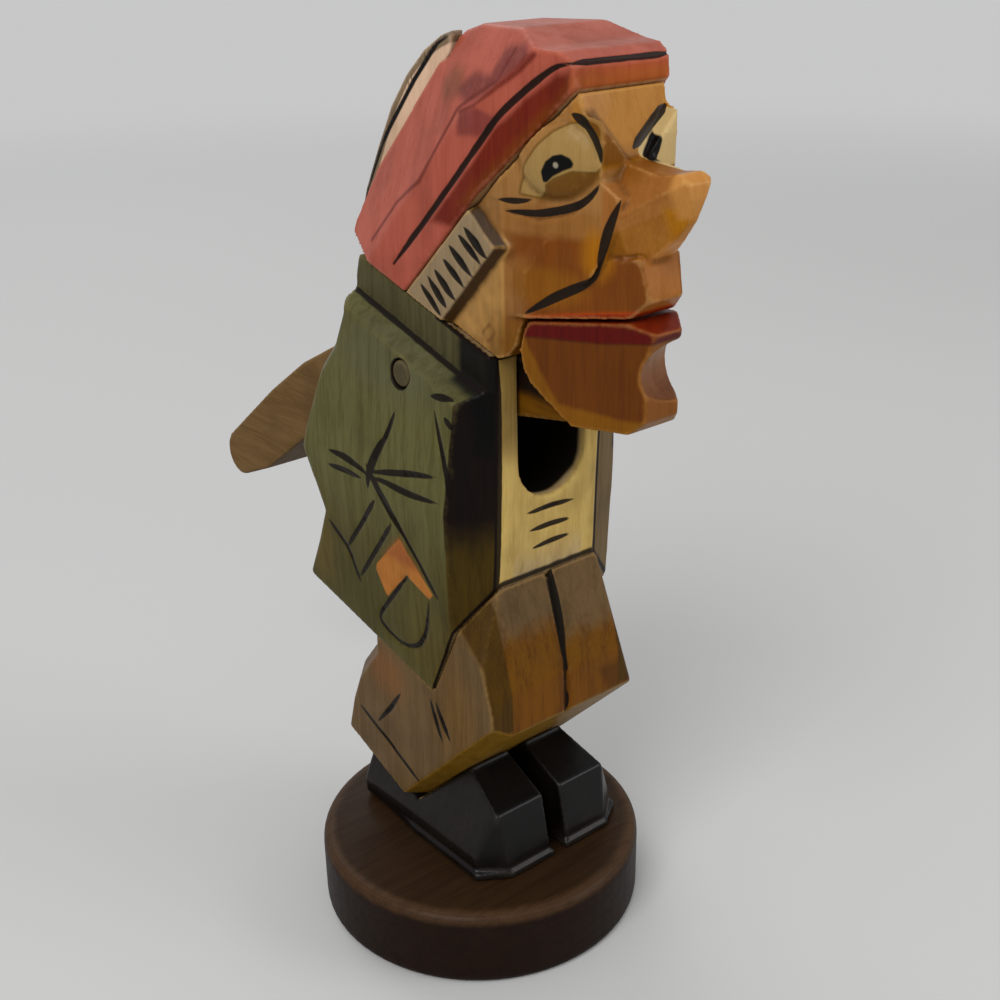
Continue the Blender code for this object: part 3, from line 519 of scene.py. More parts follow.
@dataclass(frozen=True)
class Stroke:
    """A line that was cut with a V-tool and blackened. Depth is what is still to be cut here."""
    points: Sequence[Point]
    half_width: float = 0.62
    depth: float = 0.0
    lens: bool = True
    both_sides: bool = True

    def taper(self, where: np.ndarray) -> np.ndarray:
        """Works out how wide the line is along its length.

        Args:
            where: the places along it, from 0 to 1.

        Returns:
            Its width there, as a share of its full width.
        """
        if self.lens:
            return np.sin(np.pi * np.clip(where, 0.01, 0.99)) ** 0.6
        return np.clip(0.4 + 5.0 * np.minimum(where, 1 - where), 0, 1)


COLLAR_SEAM = Seam(-23, 129.2, 16.8)
CAP_SEAM = Seam(5.4, 138.2, -43.7)
WAIST_FRONT_SEAM = Seam(-6, 46.2, -63.8, -1)
WAIST_BACK_SEAM = Seam(-6, 46.2, 14, 1)
SHIN_SEAM = Seam(5.5, 8.5, -45, -1)


def lengths_along(line: np.ndarray) -> np.ndarray:
    """How far along a line of points each point lies."""
    return np.concatenate(([0.0], np.cumsum(np.linalg.norm(np.diff(line, axis=0), axis=1))))


def along_line(points: np.ndarray, line: np.ndarray) -> tuple[np.ndarray, np.ndarray]:
    """The distance from each point to a line of points, and how far along it the nearest spot is.

    Args:
        points: the points, one row each.
        line: the line's points, one row each.

    Returns:
        The distances, and the places between 0 and 1.
    """
    starts = lengths_along(line)
    best = np.full(len(points), np.inf)
    where = np.zeros(len(points))
    for index, (start, end) in enumerate(zip(line[:-1], line[1:])):
        step = end - start
        share = np.clip((points - start) @ step / (step @ step), 0, 1)
        distance = np.linalg.norm(points - start - share[:, None] * step, axis=1)
        nearer = distance < best
        best[nearer] = distance[nearer]
        where[nearer] = (starts[index] + share[nearer] * np.linalg.norm(step)) / starts[-1]
    return best, where


def inside_polygon(flat: np.ndarray, corners: Sequence[Flat]) -> np.ndarray:
    """The distance from each point to a polygon's edge, below zero inside it.

    Args:
        flat: the points, in the polygon's plane, one row each.
        corners: the polygon's corners.

    Returns:
        The distances.
    """
    ring = np.array(list(corners) + [corners[0]], float)
    distance, _ = along_line(flat, ring)
    inside = np.zeros(len(flat), bool)
    for (ax, ay), (bx, by) in zip(ring[:-1], ring[1:]):
        crosses = (ay > flat[:, 1]) != (by > flat[:, 1])
        if ay != by:
            inside ^= crosses & (flat[:, 0] < (bx - ax) * (flat[:, 1] - ay) / (by - ay) + ax)
    return np.where(inside, -distance, distance)


def line_height(points: np.ndarray, line: Sequence[Flat]) -> np.ndarray:
    """How far points lie above a line of (y, z), read by their y."""
    ordered = np.array(sorted(line), float)
    return points[:, 2] - np.interp(points[:, 1], ordered[:, 0], ordered[:, 1])


def within(*distances: np.ndarray) -> np.ndarray:
    """Below zero where all of these are."""
    return np.maximum.reduce(distances)


def settle(obj: bpy.types.Object) -> bpy.types.Mesh:
    """Applies an object's modifiers and removes them.

    Args:
        obj: the object.

    Returns:
        The plain mesh.
    """
    graph = bpy.context.evaluated_depsgraph_get()
    mesh = bpy.data.meshes.new_from_object(obj.evaluated_get(graph))
    obj.modifiers.clear()
    return mesh


class CarvedPiece:
    """A CAD node as one skin of fine faces, with the fields that its paint follows.

    A stroke is laid on the skin in steps of STROKE_STEP millimetres, each pulled to the skin from within
    STROKE_PULL millimetres, and the row of steps is smoothed STROKE_SMOOTHING times. The skin's turn is
    blurred TURN_BLURS times, with TURN_KEPT of each vertex's own. FACING_SCALE turns a share into about
    millimetres, and the wear fades in over CLEAN_FADE millimetres round clean paint.
    """
    STROKE_STEP = 1.5
    STROKE_PULL = 2.5
    STROKE_SMOOTHING = 6
    TURN_BLURS = 4
    TURN_KEPT = 0.4
    FACING_SCALE = 4.0
    CLEAN_FADE = 0.6

    def __init__(self, node: str, body: Body, slot: str, voxel: float = 0.5, passes: int = 5) -> None:
        """Copies the node, closes it to one skin and rubs its arrises soft.

        Args:
            node: the CAD node.
            body: the body that it rides on.
            slot: the name of its material slot, which is not used.
            voxel: the size of the skin's faces, in millimetres.
            passes: how often the skin is smoothed.
        """
        self.node = node
        self.body = body
        self.slot = slot
        self.obj = bpy.data.objects.new(node + "_carved", self.merged(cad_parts[node].data))
        bpy.context.scene.collection.objects.link(self.obj)
        remesh = self.obj.modifiers.new("Skin", "REMESH")
        remesh.mode = "VOXEL"
        remesh.voxel_size = voxel * MM
        rub = self.obj.modifiers.new("Rubbed arrises", "SMOOTH")
        rub.factor = 0.5
        rub.iterations = passes
        self.obj.data = settle(self.obj)
        self.obj.data.shade_smooth()
        self.points = self.read("co") / MM - np.array(FIGURE_OFFSET)
        self.signed, self.y, self.z = self.points.T
        self.left = np.column_stack((np.abs(self.signed), self.y, self.z))
        self.mirrored = np.column_stack((-self.signed, self.y, self.z))
        self.normals = self.read("normal")
        self.coats: list[Coat] = []
        self.wear = self.convexity()
        self.store("wear", self.wear)
        for field in ("ink", "raw"):
            self.store(field, np.full(len(self.points), FAR))

    @staticmethod
    def merged(mesh: bpy.types.Mesh) -> bpy.types.Mesh:
        """Joins a copy of a mesh of loose triangles at its shared corners.

        Args:
            mesh: the CAD node's mesh.

        Returns:
            The copy.
        """
        body = bmesh.new()
        body.from_mesh(mesh)
        bmesh.ops.remove_doubles(body, verts=body.verts, dist=1e-6)
        joined = bpy.data.meshes.new(mesh.name + " joined")
        body.to_mesh(joined)
        body.free()
        return joined

    def read(self, what: str) -> np.ndarray:
        """Reads the vertices.

        Args:
            what: "co" for their places or "normal" for their normals.

        Returns:
            One row for each vertex.
        """
        vertices = self.obj.data.vertices
        flat = np.empty(len(vertices) * 3, np.float32)
        vertices.foreach_get(what, flat)
        return flat.reshape(-1, 3).astype(float)

    def convexity(self) -> np.ndarray:
        """Measures how sharply the skin turns outwards at each vertex, per millimetre.

        Returns:
            The turns, below zero in a hollow.
        """
        mesh = self.obj.data
        pairs = np.empty(len(mesh.edges) * 2, np.int32)
        mesh.edges.foreach_get("vertices", pairs)
        start, end = pairs.reshape(-1, 2).T
        step = self.points[end] - self.points[start]
        turn = np.einsum("ij,ij->i", self.normals[end] - self.normals[start], step)
        turn /= np.maximum(np.einsum("ij,ij->i", step, step), 1e-4)
        count = np.bincount(pairs, minlength=len(self.points)).clip(1)
        value = self.spread(turn, turn, start, end, count)
        for _ in range(self.TURN_BLURS):
            around = self.spread(value[end], value[start], start, end, count)
            value = self.TURN_KEPT * value + (1 - self.TURN_KEPT) * around
        return value

    def spread(self, to_start: np.ndarray, to_end: np.ndarray, start: np.ndarray, end: np.ndarray,
               count: np.ndarray) -> np.ndarray:
        """Averages what each edge carries to its two ends."""
        total = np.bincount(start, to_start, len(self.points)) + np.bincount(end, to_end, len(self.points))
        return total / count

    def store(self, name: str, values: np.ndarray) -> None:
        """Stores a field on the skin, for a material to read.

        Args:
            name: the field's name.
            values: its value at each vertex.
        """
        mesh = self.obj.data
        attribute = mesh.attributes.get(name) or mesh.attributes.new(name, "FLOAT", "POINT")
        attribute.data.foreach_set("value", values.astype(np.float32))

    def facing(self, direction: Point, share: float) -> np.ndarray:
        """Below zero where the skin faces a direction by more than a share, 1 being straight at it."""
        way = np.array(direction, float) / np.linalg.norm(direction)
        return (share - self.normals @ way) * self.FACING_SCALE

    def blot(self, centre: Point, reach: Point, both_sides: bool = True) -> np.ndarray:
        """Signed distance to a round patch, below zero inside it.

        Args:
            centre: its middle, on the figure's left unless it lies on one side only.
            reach: its half size along x, y and z.
            both_sides: whether the other side has one too.

        Returns:
            The distances.
        """
        points = self.left if both_sides else self.points
        scaled = (points - np.array(centre, float)) / np.array(reach, float)
        return (np.linalg.norm(scaled, axis=1) - 1.0) * min(reach)

    def zone(self, **limits: Limit) -> np.ndarray:
        """Signed distance to a block, below zero inside it.

        Args:
            limits: inside and outside limit the distance from the figure's middle plane, before and behind
                limit y, below and above limit z, right_of and left_of limit x. Each is a number, or an
                array with one for each vertex.

        Returns:
            The distances.
        """
        axes = (self.left[:, 0], self.y, self.z, self.signed)
        gaps = []
        for name, limit in limits.items():
            axis, sign = SIDES[name]
            gaps.append(sign * (axes[axis] - limit))
        return within(*gaps)

    def keep_clean(self, *distances: np.ndarray) -> None:
        """Keeps the paint unworn where any of these distances is below zero."""
        nearest = np.minimum.reduce(distances)
        self.store("wear", self.wear * np.clip(nearest / self.CLEAN_FADE + 0.5, 0, 1))

    def near_line(self, points: Sequence[Point], reach: float) -> np.ndarray:
        """Below zero within reach of a line, on both sides of the figure."""
        line = np.array(points, float)
        return np.minimum(along_line(self.points, line)[0], along_line(self.mirrored, line)[0]) - reach

    def near_seam(self, seam: Seam, reach: float = 0.2) -> np.ndarray:
        """Below zero within reach of a joint, where the joint runs."""
        return within(np.abs(seam.height(self.points)) - reach, seam.beyond(self.points))

    def bare(self, *distances: np.ndarray) -> None:
        """Leaves the wood bare where any of these distances is below zero."""
        self.store("raw", np.minimum.reduce(distances))

    def carve(self, strokes: Sequence[Stroke], *bands: np.ndarray) -> None:
        """Cuts the strokes that need it into the skin and stores how far each vertex is from the ink.

        Args:
            strokes: the strokes, in the figure's frame.
            bands: more ink, as distances that are below zero where it lies.
        """
        ink = np.minimum.reduce([np.full(len(self.points), FAR), *bands])
        sink = np.zeros(len(self.points))
        for stroke in strokes:
            line = self.laid(np.array(stroke.points, float))
            for points in ((self.points, self.mirrored) if stroke.both_sides else (self.points,)):
                distance, where = along_line(points, line)
                half = stroke.half_width * stroke.taper(where)
                ink = np.minimum(ink, distance - half)
                sink = np.maximum(sink, stroke.depth * np.clip(1 - distance / np.maximum(half, 0.05), 0, 1))
        if sink.any():
            moved = self.read("co") - self.normals * sink[:, None] * MM
            self.obj.data.vertices.foreach_set("co", moved.astype(np.float32).ravel())
            self.obj.data.update()
        self.store("ink", ink)

    def laid(self, line: np.ndarray) -> np.ndarray:
        """Lays a line on the skin.

        Args:
            line: the line's points, one row each.

        Returns:
            A row of close points on the skin.
        """
        lengths = lengths_along(line)
        steps = np.unique(np.concatenate((lengths, np.arange(0.0, lengths[-1], self.STROKE_STEP))))
        spots = np.column_stack([np.interp(steps, lengths, line[:, axis]) for axis in range(3)])
        for spot in spots:
            offset = self.points - spot
            nearest = int(np.argmin(np.einsum("ij,ij->i", offset, offset)))
            if np.linalg.norm(offset[nearest]) < self.STROKE_PULL:
                spot += self.normals[nearest] * (offset[nearest] @ self.normals[nearest])
        for _ in range(self.STROKE_SMOOTHING):
            spots[1:-1] = (spots[:-2] + 2 * spots[1:-1] + spots[2:]) / 4
        return spots

    def paint(self, zone: str, distance: np.ndarray, colour: Colour, streak: Colour, cover: float = 1.0,
              edge: float = 0.22, stray: float = 0.4) -> None:
        """Lays one more coat of paint on a zone.

        Args:
            zone: the name of the field that the zone is stored under.
            distance: how far each vertex lies from the zone, below zero inside it.
            colour: how the paint looks, from 0 to 255.
            streak: how it looks in the dark fibres.
            cover: how much of what lies below it hides, 1 being all.
            edge: how far its edge fades.
            stray: how far its edge strays.
        """
        self.store(zone, distance)
        coat = Coat(zone, seen(*colour), seen(*streak), cover, edge, stray)
        self.coats.append(coat)

    def dress(self, finish: Finish) -> None:
        """Gives the piece its finish and its coats, and puts it in the place of its CAD node.

        Args:
            finish: the finish under the coats.
        """
        self.obj.data.materials.clear()
        self.obj.data.materials.append(finish.material(self.coats))
        stand_in(self.obj, self.node, self.body)


def stand_in(obj: bpy.types.Object, node: str, body: Body) -> None:
    """Puts a finished piece in the place of a CAD node.

    Args:
        obj: the piece.
        node: the CAD node that it replaces.
        body: the body that it rides on.
    """
    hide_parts(node)
    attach(obj, body.value)
    LOG.info("%s: %d faces", obj.name, len(obj.data.polygons))


# ---------------------------------------------------------------- sub-assemblies


@dataclass
class Plinth:
    """The turned base, stained dark."""
    radius: float = 40.0
    rim_inset: float = 1.4
    rim_half_width: float = 1.5
    rim_foot: float = -2.2
    side_inset: float = 1.2
    side_top: float = -2.6
    bare_foot: float = 0.25

    def build(self) -> None:
        """Builds and dresses the base."""
        piece = CarvedPiece("base_plinth", Body.FIGURE, "walnut_stain", 0.6, 3)
        out = np.hypot(piece.signed + FIGURE_OFFSET[0], piece.y)
        # Painted shade: the base's side is painted darker than its top, as if less light falls on it.
        piece.paint("side", within(piece.zone(below=self.side_top), self.radius - self.side_inset - out),
                    (34, 24, 18), (24, 16, 11), 0.9, 1.0)
        rim = np.abs(out - self.radius + self.rim_inset) - self.rim_half_width
        piece.paint("rim", within(rim, piece.zone(above=self.rim_foot)),
                    (76, 56, 40), (58, 42, 30), 0.75, 1.2, 1.0)
        piece.bare(piece.zone(below=self.bare_foot - FIGURE_OFFSET[2]))
        piece.dress(Finish("walnut stain", seen(52, 38, 27), seen(38, 27, 19), seen(98, 70, 45), gloss=0.42,
                           rubbing=0.22, grain=Grain.ACROSS, rings=True, relief=0.1))


@dataclass
class Legs:
    """The boots and the trousers."""
    thigh_half_width: float = 22.5
    toe_back: float = -19.5
    sole_height: float = 1.5
    welt_height: float = 3.3
    corner_half_width: float = 16.4
    far_knee_lean: float = -0.55
    hem_lean: float = 0.3
    cuff_line: Sequence[Flat] = ((25.5, 27.4), (13.4, 22.1), (1.7, 16.9))
    creases: Sequence[Sequence[Flat]] = (
        ((7.5, 39.3), (12.6, 32.4), (18.2, 26.2)),
        ((-4.4, 43.4), (-6.4, 37.8), (-8.8, 32.9)),
        ((-6.5, 43.5), (-8.7, 38.7), (-11.8, 34.8)))
    fly: Sequence[Point] = ((0, -19.4, 80.5), (0, -20.9, 75.5), (0, -24.4, 64), (0, -27.3, 52),
                            (0, -27.6, 39))

    def build(self) -> None:
        """Builds and dresses the boots and the trousers."""
        for side in ("right", "left"):
            self.build_boot(side)
        self.build_trousers()

    def build_boot(self, side: str) -> None:
        """Builds and dresses one boot.

        Args:
            side: right or left, as in the CAD node's name.
        """
        boot = CarvedPiece("boot_" + side, Body.FIGURE, "boot", 0.42, 7)
        boot.paint("toe", boot.zone(before=self.toe_back, above=self.sole_height),
                   (17, 13, 10), (12, 9, 7), 0.85, 1.5)
        # Painted shade: the boot's upward-facing instep hollow is painted darker.
        boot.paint("instep_shade", boot.facing((0, -0.3, 1), 0.6), (12, 10, 9), (9, 8, 7), 0.85, 0.8)
        boot.paint("welt", boot.zone(below=self.welt_height, above=0.4),
                   (24, 20, 17), (18, 15, 12), 0.8, 0.4)
        boot.bare(boot.near_seam(SHIN_SEAM), boot.zone(below=0.15))
        boot.dress(Finish("boot black " + side, seen(32, 29, 26), seen(22, 19, 17), seen(60, 56, 50),
                          gloss=0.27, lacquer=0.08, sheen=0.16, rubbing=0.22, cloudy=0.4))

    def build_trousers(self) -> None:
        """Builds and dresses the trousers."""
        piece = CarvedPiece("trousers", Body.FIGURE, "trouser_brown", 0.5, 5)
        side = self.thigh_half_width
        strokes = [Stroke([(side, y, z) for y, z in self.cuff_line], 0.65, lens=False),
                   Stroke(self.fly[:4], 1.0, both_sides=False),
                   Stroke(self.fly[1:], 0.42, both_sides=False, lens=False)]
        strokes += [Stroke([(side, y, z) for y, z in line], 0.75) for line in self.creases]
        piece.carve(strokes, piece.near_seam(WAIST_FRONT_SEAM, 0.3))
        for name, centre, reach, colour, streak, cover, edge in (
                ("seat", (side, 14, 42), (5, 8, 6), (118, 78, 42), (100, 66, 36), 0.7, 3.0),
                ("haunch", (side, 24, 27), (4, 9, 12), (98, 78, 52), (84, 64, 42), 0.7, 3.0),
                ("thigh", (side, -14, 42), (4, 7, 13), (106, 78, 38), (88, 62, 28), 0.8, 3.5)):
            piece.paint(name, piece.blot(centre, reach), colour, streak, cover, edge)
        piece.paint("front", piece.zone(inside=side - 0.5, before=-2.0),
                    (102, 66, 18), (76, 46, 8), stray=0.25)
        piece.paint("knee", piece.zone(below=52.0, above=40.5, before=-20.0, inside=16.0),
                    (108, 66, 12), (82, 46, 4), 0.8, 2.5)
        lap_foot = np.where(piece.signed < 0, 64.6, 60.0)
        piece.paint("lap", piece.zone(above=lap_foot, inside=17.2, before=-18.0),
                    (99, 79, 53), (80, 62, 40), 0.94, 3.2, 4.0)
        far_knee = 12.5 + self.far_knee_lean * (piece.z - 44.0)
        piece.paint("far_corner", piece.zone(left_of=far_knee, before=-18.0, below=49.0),
                    (80, 50, 10), (64, 38, 6), 0.8, 1.8)
        corner = piece.zone(outside=self.corner_half_width, inside=side - 0.45, before=-12.0, above=43.0)
        piece.paint("corner", corner, (72, 52, 8), (56, 38, 5), 0.95, 0.35, 0.3)
        # The hem's ochre paint, partly painted light: the downward-facing facets are painted much lighter so
        # that they look lit from below.
        for name, lean in (("hem", self.hem_lean), ("hem_left", -self.hem_lean)):
            below = piece.facing((lean, -0.4, -0.87), 0.62)
            piece.paint(name, within(below, piece.zone(below=45.0)),
                        (124, 92, 34), (104, 74, 22), 0.92, 0.5, 0.3)
        piece.bare(piece.near_seam(WAIST_FRONT_SEAM), piece.near_seam(WAIST_BACK_SEAM))
        piece.dress(Finish("trouser brown", seen(101, 79, 51), seen(82, 62, 37), seen(150, 118, 70),
                           streaks=0.7))


@dataclass
class Torso:
    """The coat, the shirt front and the collar, cut from one block."""
    shirt_half_width: float = 14.6
    slot_half_width: float = 9.9
    collar_half_width: float = 17.0
    collar_height: float = 7.5
    lapel_inner: float = 14.3
    neck_half_width: float = 19.8
    neck_drop: float = 14.0
    pivot: Flat = (1.5, 121.7)
    pivot_radius: float = 3.0
    sleeve: Facet = Facet((25, 0, 94.2), (22.5, 0, 126.7), (22.5, 50, 126.7))
    skirt: Facet = Facet((25, 0, 94.2), (23, 0, 46), (23, 50, 46))
    lapel: Facet = Facet((14.7, -22.3, 125), (22.7, -18.3, 125), (14.7, -20.1, 76.2))
    lapel_edge: Sequence[Point] = ((14.9, -22.4, 128), (14.9, -22.2, 100), (14.9, -21.4, 84),
                                   (14.9, -20.6, 76), (14.9, -20.1, 70))
    hand: Sequence[Flat] = ((4.6, 80.6), (2, 83), (-0.2, 80.7), (-9.3, 72.9), (-7.7, 71.3), (0.6, 74.2),
                            (9.1, 65.5), (12.9, 71.3), (12.3, 72.9))
    elbow: Sequence[Sequence[Flat]] = (
        ((2.4, 113.9), (5.2, 108.2), (8.9, 102), (12.3, 96.7), (12.6, 95.2)),
        ((29.5, 96.8), (21.9, 97), (15.4, 96), (12, 95.2)),
        ((29.5, 93), (22.7, 93.6), (15.4, 93.8)),
        ((-12.8, 102.5), (-3.2, 100.4), (8, 97.5), (12.4, 96.2)),
        ((-13.4, 96.7), (-3.4, 95.6), (7.6, 95.7), (12, 95)),
        ((-10.7, 118), (-13.8, 109), (-18.1, 99.2), (-20.9, 89)),
        ((-14.4, 116.3), (-17.7, 114.3)),
        ((-9.6, 119.7), (-17.3, 121.3)))
    forearm: Sequence[Sequence[Flat]] = (
        ((9.8, 94.3), (3.5, 87.2), (0.8, 84.7), (-5.2, 78.6), (-11.1, 72.6)),
        ((10.9, 89.6), (17.4, 81.4), (24.2, 73.2)),
        ((4.9, 85.6), (12.1, 76.5), (19.7, 66.9)),
        ((31.6, 77.8), (24.2, 72.9), (20, 65)))
    crook: Sequence[Sequence[Flat]] = (((13.6, 97.8), (9.8, 94), (3.5, 87.2), (-1.2, 82.8)),
                                       ((7, 105.4), (12.6, 96.4), (13, 92)))
    pocket: Sequence[Flat] = ((0.3, 74.2), (14, 58.1), (10.2, 55.5), (5.5, 54.5), (1.2, 54.8),
                              (-2.6, 57.2), (-5.5, 61.9), (-7.6, 70.6))
    dashes: Sequence[tuple[Flat, Flat]] = (((-7.6, 91.9), (7.2, 91.5)), ((-6.3, 87.4), (6.1, 87)),
                                           ((-5.1, 82.7), (6.1, 83)))
    shirt_front: float = -21.35
    shirt_back: float = -18.0
    shirt_lean: float = 0.055
    lapel_foot: float = 60.0
    dark_foot: float = 88.0
    slot_floor: tuple[Flat, Flat] = ((96.0, 99.0), (-19.3, -20.3))

    def strokes(self) -> list[Stroke]:
        """The creases in the sleeves and skirts, the lapel's edge and the dashes down the shirt.

        Returns:
            The strokes.
        """
        lines = [Stroke(self.sleeve.drop(line), 0.85) for line in self.elbow]
        lines += [Stroke(self.skirt.drop(line), 0.68, lens=False) for line in self.forearm]
        lines.append(Stroke(self.skirt.drop(self.pocket), 0.62, lens=False))
        lines += [Stroke(self.skirt.drop(line), 1.3) for line in self.crook]
        for (x1, z1), (x2, z2) in self.dashes:
            front = self.shirt_front - (z1 - 82.5) * self.shirt_lean
            middle = ((x1 + x2) / 2, front, (z1 + z2) / 2 + 0.2)
            lines.append(Stroke([(x1, front, z1), middle, (x2, front, z2)], 0.75, both_sides=False))
        lines.append(Stroke(self.lapel_edge, 0.75, 0.25, lens=False))
        return lines

    def build(self) -> None:
        """Builds and dresses the torso."""
        piece = CarvedPiece("torso", Body.FIGURE, "coat_green", 0.58, 4)
        height = COLLAR_SEAM.height(piece.points)
        self.cut_lines(piece, height)
        self.colour_coat(piece)
        self.colour_collar(piece, height + self.collar_height)
        self.colour_shirt(piece)
        self.colour_hand(piece)
        piece.bare(piece.near_seam(WAIST_FRONT_SEAM), piece.near_seam(WAIST_BACK_SEAM), np.abs(height) - 0.2)
        piece.dress(Finish("coat green", seen(92, 89, 53), seen(70, 66, 34), seen(140, 124, 72), streaks=0.75,
                           ink=seen(27, 22, 11), rubbing=0.16))

    def cut_lines(self, piece: CarvedPiece, height: np.ndarray) -> None:
        """Cuts the strokes, blackens the waist, the collar's top edge and the ring round the pivot, and
        paints a shadow line under the collar's foot.

        Args:
            piece: the torso.
            height: how far each vertex lies above the collar's joint.
        """
        waist = within(np.abs(WAIST_FRONT_SEAM.height(piece.points) - 0.2) - 0.34, piece.zone(before=-6.0))
        # Painted shadow: a dark line under the foot of the raised collar.
        foot = within(np.abs(height + self.collar_height + 0.3) - 0.42,
                      piece.zone(outside=self.collar_half_width, before=24.0))
        top = within(np.abs(height + 0.2) - 0.55, piece.zone(before=-4.0))
        bore = np.hypot(piece.y - self.pivot[0], piece.z - self.pivot[1]) - self.pivot_radius
        ring = within(np.abs(bore - 0.2) - 0.4, piece.zone(outside=19.0))
        piece.carve(self.strokes(), waist, foot, top, ring)

    def colour_coat(self, piece: CarvedPiece) -> None:
        """Paints the shoulders, the skirts and the front edges.

        Args:
            piece: the torso.
        """
        piece.paint("shoulder", piece.blot((20, 4, 124), (9, 22, 9)), (86, 84, 60), (70, 68, 46), 0.7, 5.0)
        piece.paint("skirt", piece.zone(below=84.0, outside=17.0), (76, 68, 32), (60, 54, 22), 0.75, 9.0, 4.0)
        piece.paint("shade", piece.blot((24, 20, 62), (4, 15, 9)), (66, 62, 28), (54, 50, 20), 0.75, 4.0)
        piece.paint("tail", piece.blot((24, 36, 72), (5, 6, 13)), (93, 76, 34), (70, 60, 26), 0.7, 2.5, 2.0)
        piece.paint("skirt_foot", piece.blot((23.5, -6, 54), (6, 9, 13)),
                    (86, 74, 30), (68, 56, 20), 0.8, 5.0, 2.0)
        edge = -11.0 - (piece.z - self.lapel_foot) * 0.25
        piece.paint("front_edge", piece.zone(before=edge, below=86.0),
                    (72, 58, 20), (54, 42, 12), 0.75, 4.0, 2.0)

    def colour_collar(self, piece: CarvedPiece, below_collar: np.ndarray) -> None:
        """Paints the lapels and the collar.

        Args:
            piece: the torso.
            below_collar: how far each vertex lies above the collar's foot.
        """
        lapel = within(np.abs(self.lapel.height(piece.left)) - 0.5, piece.zone(outside=self.lapel_inner))
        piece.paint("lapel", within(lapel, piece.zone(above=self.lapel_foot)),
                    (66, 51, 14), (48, 37, 8), 0.95, stray=0.2)
        piece.paint("lapel_black", within(lapel * CRISP, piece.zone(above=self.dark_foot)),
                    (26, 19, 6), (15, 10, 3), 0.97, 6.0, 3.0)
        piece.paint("lapel_left", within(lapel, piece.zone(above=self.lapel_foot, left_of=5.0)),
                    (104, 82, 44), (84, 62, 26), 0.9, stray=0.2)
        piece.paint("collar", -below_collar, (76, 71, 47), (58, 54, 34), 0.9, 0.3, 0.3)
        drop = np.where(piece.signed < 0, self.neck_drop, 0.0)
        neck = within(-below_collar - drop, piece.zone(inside=self.neck_half_width, before=-12.0),
                      piece.zone(outside=self.lapel_inner) * FIRM)
        piece.paint("neck", neck, (18, 14, 6), (13, 10, 4), 0.95, 1.2, 1.0)
        piece.keep_clean(neck)

    def colour_shirt(self, piece: CarvedPiece) -> None:
        """Paints the shirt front and the slot, and paints shade deep inside the slot.

        Args:
            piece: the torso.
        """
        shirt = piece.zone(inside=self.shirt_half_width)
        piece.paint("shirt", within(shirt, piece.zone(before=self.shirt_back)),
                    (188, 160, 94), (168, 138, 76), stray=0.15)
        piece.paint("shirt_shade", within(shirt * CRISP, piece.zone(before=self.shirt_back, above=108.0)),
                    (138, 110, 60), (116, 88, 44), 0.7, 5.0, 1.0)
        piece.paint("slot", piece.zone(inside=self.slot_half_width + 0.1, behind=-20.9, below=124.0),
                    (170, 148, 112), (140, 116, 80), 0.85, 0.6, 0.5)
        # Painted shade: the slot is painted near black behind its mouth, where it lies in shade.
        mouth = np.interp(piece.z, *self.slot_floor)
        deep = within(piece.zone(inside=self.slot_half_width + 0.3) * FIRM / 2,
                      piece.zone(behind=mouth, above=self.dark_foot))
        piece.paint("slot_shade", deep, (20, 9, 4), (14, 6, 3), 0.985, 0.8, 0.4)

    def colour_hand(self, piece: CarvedPiece) -> None:
        """Paints the hand at the pocket, darker at the wrist.

        Args:
            piece: the torso.
        """
        hand = within(inside_polygon(piece.points[:, 1:], self.hand),
                      np.abs(self.skirt.height(piece.left)) - 1.2)
        piece.paint("hand", hand, (166, 105, 44), (150, 90, 36), stray=0.15)
        piece.paint("wrist", within(hand, piece.zone(above=77.0)),
                    (142, 78, 40), (124, 66, 32), 0.8, 1.6, 0.5)


